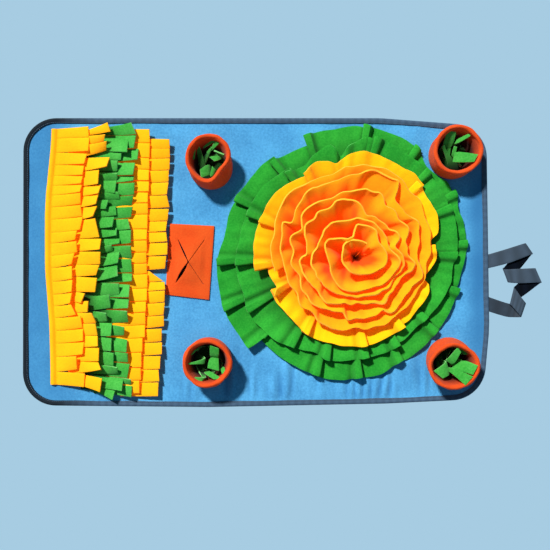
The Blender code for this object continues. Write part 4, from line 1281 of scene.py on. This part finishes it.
def make_frill(name, node, cloth, slot, sewn, low_end, edge):
    centre = Vector(FLOWER)
    stations = frill_stations(low_end, edge)

    def place(column, row):
        base, ahead, reach, rise, _ = stations[column % len(stations)]
        out = row / TIER_ROWS
        size = mix(SEWN_SHARE, 1.0, out)
        angle = base + ahead * size
        # The noise runs round the ring, with 9, 12 or 5 bumps to a radian.
        radius = mix(sewn, reach, out) + FRILL_WANDER * out * swell(angle * 9, out, 1.0, sewn)
        height = mix(SEWN_Z + SEWN_RISE, low_end, out) + rise * size
        height += out * RUFFLE * swell(angle * 12, out * 1.5, 1.0, sewn + 3)
        bulge, even = FRILL_BULGE
        bulge *= math.sin(math.pi * out)
        height += bulge * (even + swell(angle * 5, 0.0, 1.0, sewn + 8))
        return centre.x + radius * math.cos(angle), centre.y + radius * math.sin(angle), height

    def shade(column, row):
        out = row / TIER_ROWS
        start, end = SHADED
        under = SHADE * (1 - smooth((out - start) / (end - start)))
        return min(under + HOLLOW_SHADE * stations[column % len(stations)][4], 1.0)

    around = len(stations) * TIER_STEP
    bm = cloth_grid(len(stations), TIER_ROWS, place, (around * MM, FRILL_UV), shade=shade)
    piece, area = dress(name, bm, cloth, cloth + "_edge", FLEECE)
    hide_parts(node)


for tier in TIERS:
    make_frill(*tier)

# %% [markdown]
# ## The rose
# One long strip of yellow fleece is sewn on a spiral, from the heart outwards, and stands up in
# walls that lean out. Its free edge wanders in loops and dents that no formula gives, so the
# tables follow it round, turn by turn: the angle from the heart and the distance in pixels. The
# sewn edge is a plain spiral, and the wall bends between the two.

# %% The rose's free edge
HEART_U = 357.5          # the pixel that shows the rose's heart
HEART_V = 257.0
ROSE_LOOPS = (
    # one turn each, from the heart outwards: angle in degrees, distance in pixels
    ((55, 16.5), (90, 16.8), (108, 18), (134, 18.5), (157, 16.1), (180, 15.6), (193, 15.8),
     (222, 15.2), (240, 16), (270, 17.3), (289, 18.5), (310, 21.8), (331, 25.5), (341, 28.7),
     (353, 30)),
    ((0, 30), (19, 27.7), (33, 26), (46, 28.5), (56, 32.7), (70, 33), (80, 32.5), (90, 32.8),
     (95.5, 27.9), (103, 21), (116, 20.6), (131, 25), (142, 29.7), (149, 34), (157, 35),
     (169, 32.4), (180, 30), (196, 28.7), (209, 30.6), (225, 32.6), (246, 35.4), (263, 35.1),
     (283, 33.8), (298, 34.3), (312, 37.5), (335, 40), (344, 41.8), (354, 43)),
    ((0, 41), (8, 36.3), (14, 33.5), (22, 33), (33, 34.7), (53, 36.5), (65, 37.9), (90, 38.6),
     (104, 37.9), (119, 40.9), (130, 42.6), (138, 43), (149, 41.6), (164, 41), (176, 45.3),
     (194, 46.6), (202, 45.3), (221, 43.3), (231, 43), (246, 41.8), (255, 40.5), (270, 40),
     (290, 40.7), (299, 42.3), (313, 43.5), (322, 42.8), (331, 43.2), (344, 45.4), (351, 47.6),
     (359, 46)),
    ((0, 46), (7, 42.9), (15.6, 38.9), (26, 47), (45, 43), (65, 42.7), (77, 44), (81, 46.4),
     (86, 51.7), (90, 54.5), (99, 58.7), (104, 60.6), (110, 59.6), (116.5, 56), (126, 58.4),
     (135, 60.2), (146, 59.8), (153, 58.6), (159, 56.9), (164, 54.4), (173, 50.2), (177, 51),
     (180, 55.5), (185, 58), (191, 57.4), (205, 54.9), (210, 52.3), (220, 53.1), (236, 54.5),
     (242, 53.5), (250, 49.7), (256, 48.1), (270, 48.3), (279, 47.3), (291, 49.2), (300, 53.7),
     (308, 50.8), (313.5, 49), (332, 48.1), (340, 51.7), (347, 56.9), (352, 56.5)),
    ((0, 52), (8, 50.5), (15, 52), (31, 57.3), (38, 57.4), (46, 58.6), (54, 57.7), (62, 59),
     (66, 63.4), (72, 68), (81, 69.4), (87, 67.5), (98, 65.9), (111, 65.3), (118, 65.7),
     (127, 67.5), (135, 69.9), (143, 69.5), (149, 67.2), (154, 63.4), (167, 68.5), (180, 65.3),
     (191, 64), (199, 62.4), (213, 63.1), (233, 64.7), (240, 60.6), (249.5, 58.2), (255.5, 57.7),
     (262, 63.6), (270, 62.5), (285, 61.9), (295, 60), (301, 65), (316, 62.9), (330, 61.8),
     (337, 64.9), (345, 66.4), (352, 65)),
    ((0, 60), (12, 63.3), (27, 67.7), (39, 67), (53.5, 65.9), (57, 68), (59, 78), (62, 87.5),
     (71, 86.6), (83, 86.8), (90, 83.2), (99.5, 81.5), (105, 79.5), (119, 80.5), (123, 82.3),
     (136.5, 80), (143, 77.7), (149, 75), (152.6, 74.4), (155, 82.5), (160, 81), (165, 78.8),
     (173, 77), (180, 75.4), (195, 73), (206, 72.7), (221, 73), (233, 71.2), (239, 75),
     (244, 76.6), (252, 75.9), (264, 72.5), (270, 71), (281, 74.8), (289, 72.3), (298, 70.9),
     (305, 71), (314, 70), (330, 69.5), (350, 70.5)),
    ((10, 74), (30, 79.5), (50, 84.5), (62, 90), (75, 93), (96, 90.9), (102, 87.9), (111, 86),
     (121.5, 89.2), (134, 92.8), (140, 93.7), (149, 90.8), (159, 89.4), (168, 86.7), (180, 86),
     (190, 84)),
)
ROSE_HEIGHTS = (
    # angle along the spiral, height of the free edge
    (0, 57), (360, 57.5), (720, 54), (1080, 50), (1440, 45.5), (1800, 40.5), (2160, 35),
)
ROSE_NOD = (1.0, 4.7, 0.5)  # how far it bobs up and down, how often a turn, and where it starts
ROSE_UV = 0.06           # width of its UV map, in metres
ROSE_SEWN = (
    # angle along the spiral, distance of the sewn edge from its middle
    (0, 0.3), (180, 0.8), (360, 4.5), (720, 28), (1080, 46), (1440, 62), (1800, 78), (2160, 90),
    (2400, 95),
)
ROSE_STEP = 3.2          # length of one face along the free edge
ROSE_TURN = 0.25         # degrees between two measurements of its length
ROSE_ROWS = 12
FLARE = (0.42, 0.58)     # the section's bend: share of the way out, share of the rise
DEEP_FROM = 2.0          # painted shade: the colour deepens from here below the free edge, in mm
DEEP_TO = 26.0           # and is deepest from here on
DEEP_REACH = 90.0        # fully so at the heart, and less out to this distance from it
DEEP_OUTER = 0.35        # share of it that is left there
ROSE_TOP = 59.0
ROSE_FALL = 0.16         # how fast the free edge comes down away from the heart
CRINKLE = 4.4            # how far the outer turns' edge wanders from the table, in pixels
CRINKLE_SPAN = 12.0      # and over how many degrees
CRINKLE_FROM = 0.8       # it begins this share of two turns out, and grows over two turns
FLUTE = 8.0              # how far the wall wanders below its free edge
FLUTE_SIZE = 17.0        # length of the strip that one flute takes, in mm
FLUTE_SHADE = 1.1        # how much deeper the colour is in a flute's hollow
PINCHES = 4.6            # folds round the heart, where the strip is gathered tight
PINCH = 3.0              # and how far they reach
PINCH_BAND = (0.35, 0.2)  # their middle and width, as shares of the way out
PINCH_END = 900          # degrees along the spiral
FOLD_GAIN = 1.1          # how much deeper the wall's folds are than the dents of its edge
DENT_SPAN = 24           # degrees to each side over which a dent is judged
HEART = (171.0, 7.6)     # X and Y of the heart
HEART_DARK = 13.0        # painted shade: the middle is darkest within this distance, in mm
HEART_DEEP = (8.0, 20.0)  # and grows dark between these depths
ROSE_FLEECE = 2.9        # thickness of the strip, and how far its edges are rounded
ROSE_BEVEL = 0.8
ROSE_SPREAD = 7          # turns over which the sewn spiral's middle moves to the frills' middle

ROSE_EDGE = [(angle + 360 * turn, reach)
             for turn, loop in enumerate(ROSE_LOOPS) for angle, reach in loop]


def rose_edge(degrees):
    """The strip's free edge at an angle along the spiral."""
    wave = math.radians(degrees)
    reach = through(ROSE_EDGE, degrees)
    fade = smooth(degrees / 720 - CRINKLE_FROM)
    reach += CRINKLE * swell(degrees, 0, CRINKLE_SPAN, 33.0) * fade
    nod, often, begin = ROSE_NOD
    height = through(ROSE_HEIGHTS, degrees) + nod * math.sin(often * wave + begin)
    spot = seen_at(HEART_U + reach * math.cos(wave), HEART_V - reach * math.sin(wave), height)
    return Vector((spot.x, spot.y, height))


def rose_stations():
    """Angles along the spiral that split the free edge into even steps."""
    start, end = ROSE_EDGE[0][0], ROSE_EDGE[-1][0]
    stations = [start]
    walked = 0.0
    before = rose_edge(start)
    angle = start
    while angle < end:
        angle += ROSE_TURN
        spot = rose_edge(angle)
        walked += (spot - before).length
        before = spot
        if walked >= ROSE_STEP:
            stations.append(angle)
            walked = 0.0
    return stations


def flutes(column, out):
    """How far the wall wanders out, from about -1 to 1. It changes less up it than along it."""
    return swell(column * ROSE_STEP, out * FLUTE_SIZE * 0.6, FLUTE_SIZE, 21.0)


def make_rose():
    stations = rose_stations()

    def place(column, row):
        degrees = stations[column]
        wave = math.radians(degrees)
        end = rose_edge(degrees)
        inner = min(degrees / 360 / ROSE_SPREAD, 1.0)
        middle = Vector(HEART).lerp(Vector(FLOWER), inner)
        foot = middle + Vector((math.cos(wave), math.sin(wave))) * through(ROSE_SEWN, degrees)
        start = Vector((foot.x, foot.y, SEWN_Z))
        flat, rise = FLARE
        bend = Vector((mix(start.x, end.x, flat), mix(start.y, end.y, flat),
                       mix(start.z, end.z, rise)))
        out = row / ROSE_ROWS
        spot = start.lerp(bend, out).lerp(bend.lerp(end, out), out)
        beside = [through(ROSE_EDGE, degrees + turn) for turn in (-DENT_SPAN, DENT_SPAN)]
        dent = (through(ROSE_EDGE, degrees) - sum(beside) / 2) * PIXEL
        flute = FLUTE * flutes(column, out) + FOLD_GAIN * dent
        flute *= math.sin(math.pi * out) * out
        band, width = PINCH_BAND
        pinch = PINCH * math.cos(PINCHES * wave) * math.exp(-((out - band) / width) ** 2)
        flute += pinch * max(0.0, 1 - degrees / PINCH_END)
        spot.x += flute * math.cos(wave)
        spot.y += flute * math.sin(wave)
        return spot.x, spot.y, spot.z

    def shade(column, row):
        out = row / ROSE_ROWS
        return FLUTE_SHADE * max(-flutes(column, out), 0.0) * math.sin(math.pi * out ** 1.5)

    length = len(stations) * ROSE_STEP
    bm = cloth_grid(len(stations) - 1, ROSE_ROWS, place, (length * MM, ROSE_UV), shade=shade)
    depth = bm.verts.layers.float["depth"]
    # The depth attribute paints shade: deeper orange down the walls, more so nearer the heart, and
    # the darkest red in the heart itself.
    for vert in bm.verts:
        away = Vector((vert.co.x, vert.co.y)) / MM - Vector(HEART)
        inner = 1 - min(away.length / DEEP_REACH, 1.0)
        drop = ROSE_TOP - vert.co.z / MM
        below = (drop - ROSE_FALL * away.length - DEEP_FROM) / (DEEP_TO - DEEP_FROM)
        heart = smooth((drop - HEART_DEEP[0]) / (HEART_DEEP[1] - HEART_DEEP[0]))
        heart *= smooth(1.2 - away.length / HEART_DARK)
        below = smooth(below) * mix(DEEP_OUTER, 1.0, inner)
        vert[depth] = min(vert[depth] + below, 1.0) + heart
    piece, area = dress("rose_strip", bm, "rose", "rose_edge", ROSE_FLEECE, bevel=ROSE_BEVEL)
    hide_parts("rose_spiral")


make_rose()

# %% [markdown]
# ## The tie
# One grosgrain ribbon, both ends sewn under the edge tape, lies folded to and fro. The table
# gives a pair of edge points for each crease and bend, and a smooth run through them rounds the
# folds.

# %% Ribbon
RIBBON = 1.1             # thickness of the ribbon, and how far its edges are rounded
RIBBON_BEVEL = 0.2
RIBBON_WIDTH = 25
RIBBON_LOWEST = 0.9      # height at which its middle rests on the floor
TIE_SECTIONS = (
    # u, v of one edge, u, v of the other edge, height
    (486.6, 254.9, 486.8, 268.6, 2.6), (506.2, 249.1, 508.0, 263.2, 7.0),
    (523.6, 243.6, 530.6, 254.6, 13.6), (525.0, 243.8, 532.0, 254.4, 12.4),
    (523.8, 244.6, 530.8, 255.4, 11.0), (513.0, 256.5, 521.5, 267.0, 5.0),
    (504.2, 267.2, 509.2, 281.0, 1.8), (503.0, 267.9, 508.2, 281.8, 3.2),
    (504.4, 269.3, 509.4, 282.6, 4.6), (518.2, 268.8, 518.8, 283.2, 9.0),
    (533.4, 268.2, 539.4, 282.4, 13.2), (534.8, 268.6, 540.8, 282.9, 12.0),
    (533.6, 269.6, 539.4, 283.6, 10.6), (524.0, 277.5, 525.0, 294.5, 6.6),
    (515.6, 285.6, 511.2, 304.0, 4.2), (514.2, 287.2, 510.4, 304.6, 5.5),
    (515.6, 289.4, 511.6, 305.6, 6.8), (520.6, 296.5, 516.2, 311.0, 8.0),
    (524.6, 301.6, 520.0, 315.4, 8.4), (525.6, 303.4, 521.0, 316.8, 7.1),
    (524.2, 303.8, 519.2, 317.2, 5.6), (518.0, 303.8, 513.4, 317.2, 2.4),
    (508.0, 303.4, 505.0, 316.4, 1.6),
    (486.4, 296.2, 486.4, 310.8, 2.0),
)
TIE_LAST_FOLD = 19       # after this row of the table, the ribbon's underside lies open
RIBBON_STEPS = 6         # faces between two rows of the table
RIBBON_CELLS = 8


def make_tie():
    one = [Vector((*seen_at(u, v, z), z)) for u, v, _, _, z in TIE_SECTIONS]
    other = [Vector((*seen_at(u, v, z), z)) for _, _, u, v, z in TIE_SECTIONS]
    columns = (len(one) - 1) * RIBBON_STEPS

    def place(column, row):
        share = column / columns
        spot = glide(one, share).lerp(glide(other, share), row / RIBBON_CELLS)
        return spot.x, spot.y, max(spot.z, RIBBON_LOWEST)

    length = sum((b - a).length for a, b in zip(one, one[1:]))
    bm = cloth_grid(columns, RIBBON_CELLS, place, (length * MM, RIBBON_WIDTH * MM))
    piece, area = dress("tie_band", bm, "ribbon", thickness=RIBBON, bevel=RIBBON_BEVEL,
                        back="ribbon_painted_shadow")
    piece.data.materials.append(FINISHES["ribbon_low"])
    # Solidify gives the back of a face the next finish: before the last fold that is a near-black
    # painted shadow on the runs that lie folded under, and after it the lighter colour of the open
    # underside.
    split = (TIE_LAST_FOLD - 0.5) / (len(one) - 1) * length
    for face in piece.data.polygons:
        along = sum(piece.data.uv_layers["cloth"].uv[k].vector.x for k in face.loop_indices)
        face.material_index = int(along / len(face.loop_indices) / MM > split)
    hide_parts("tie_ribbon")


make_tie()

# %% [markdown]
# ## The floor
# A plain sheet, far wider than the picture, that is lit from below and so takes no shadow. It
# isn't attached to the mat.

# %% Floor
FLOOR_REACH = 6.0        # metres from its middle to each side


def make_floor():
    bm = bmesh.new()
    bmesh.ops.create_grid(bm, x_segments=2, y_segments=2, size=FLOOR_REACH)
    mesh = bpy.data.meshes.new("floor")
    bm.to_mesh(mesh)
    bm.free()
    mesh.materials.append(FINISHES["floor"])
    floor = bpy.data.objects.new("floor", mesh)
    bpy.context.collection.objects.link(floor)


make_floor()
print("the floor reaches", FLOOR_REACH, "m each way")
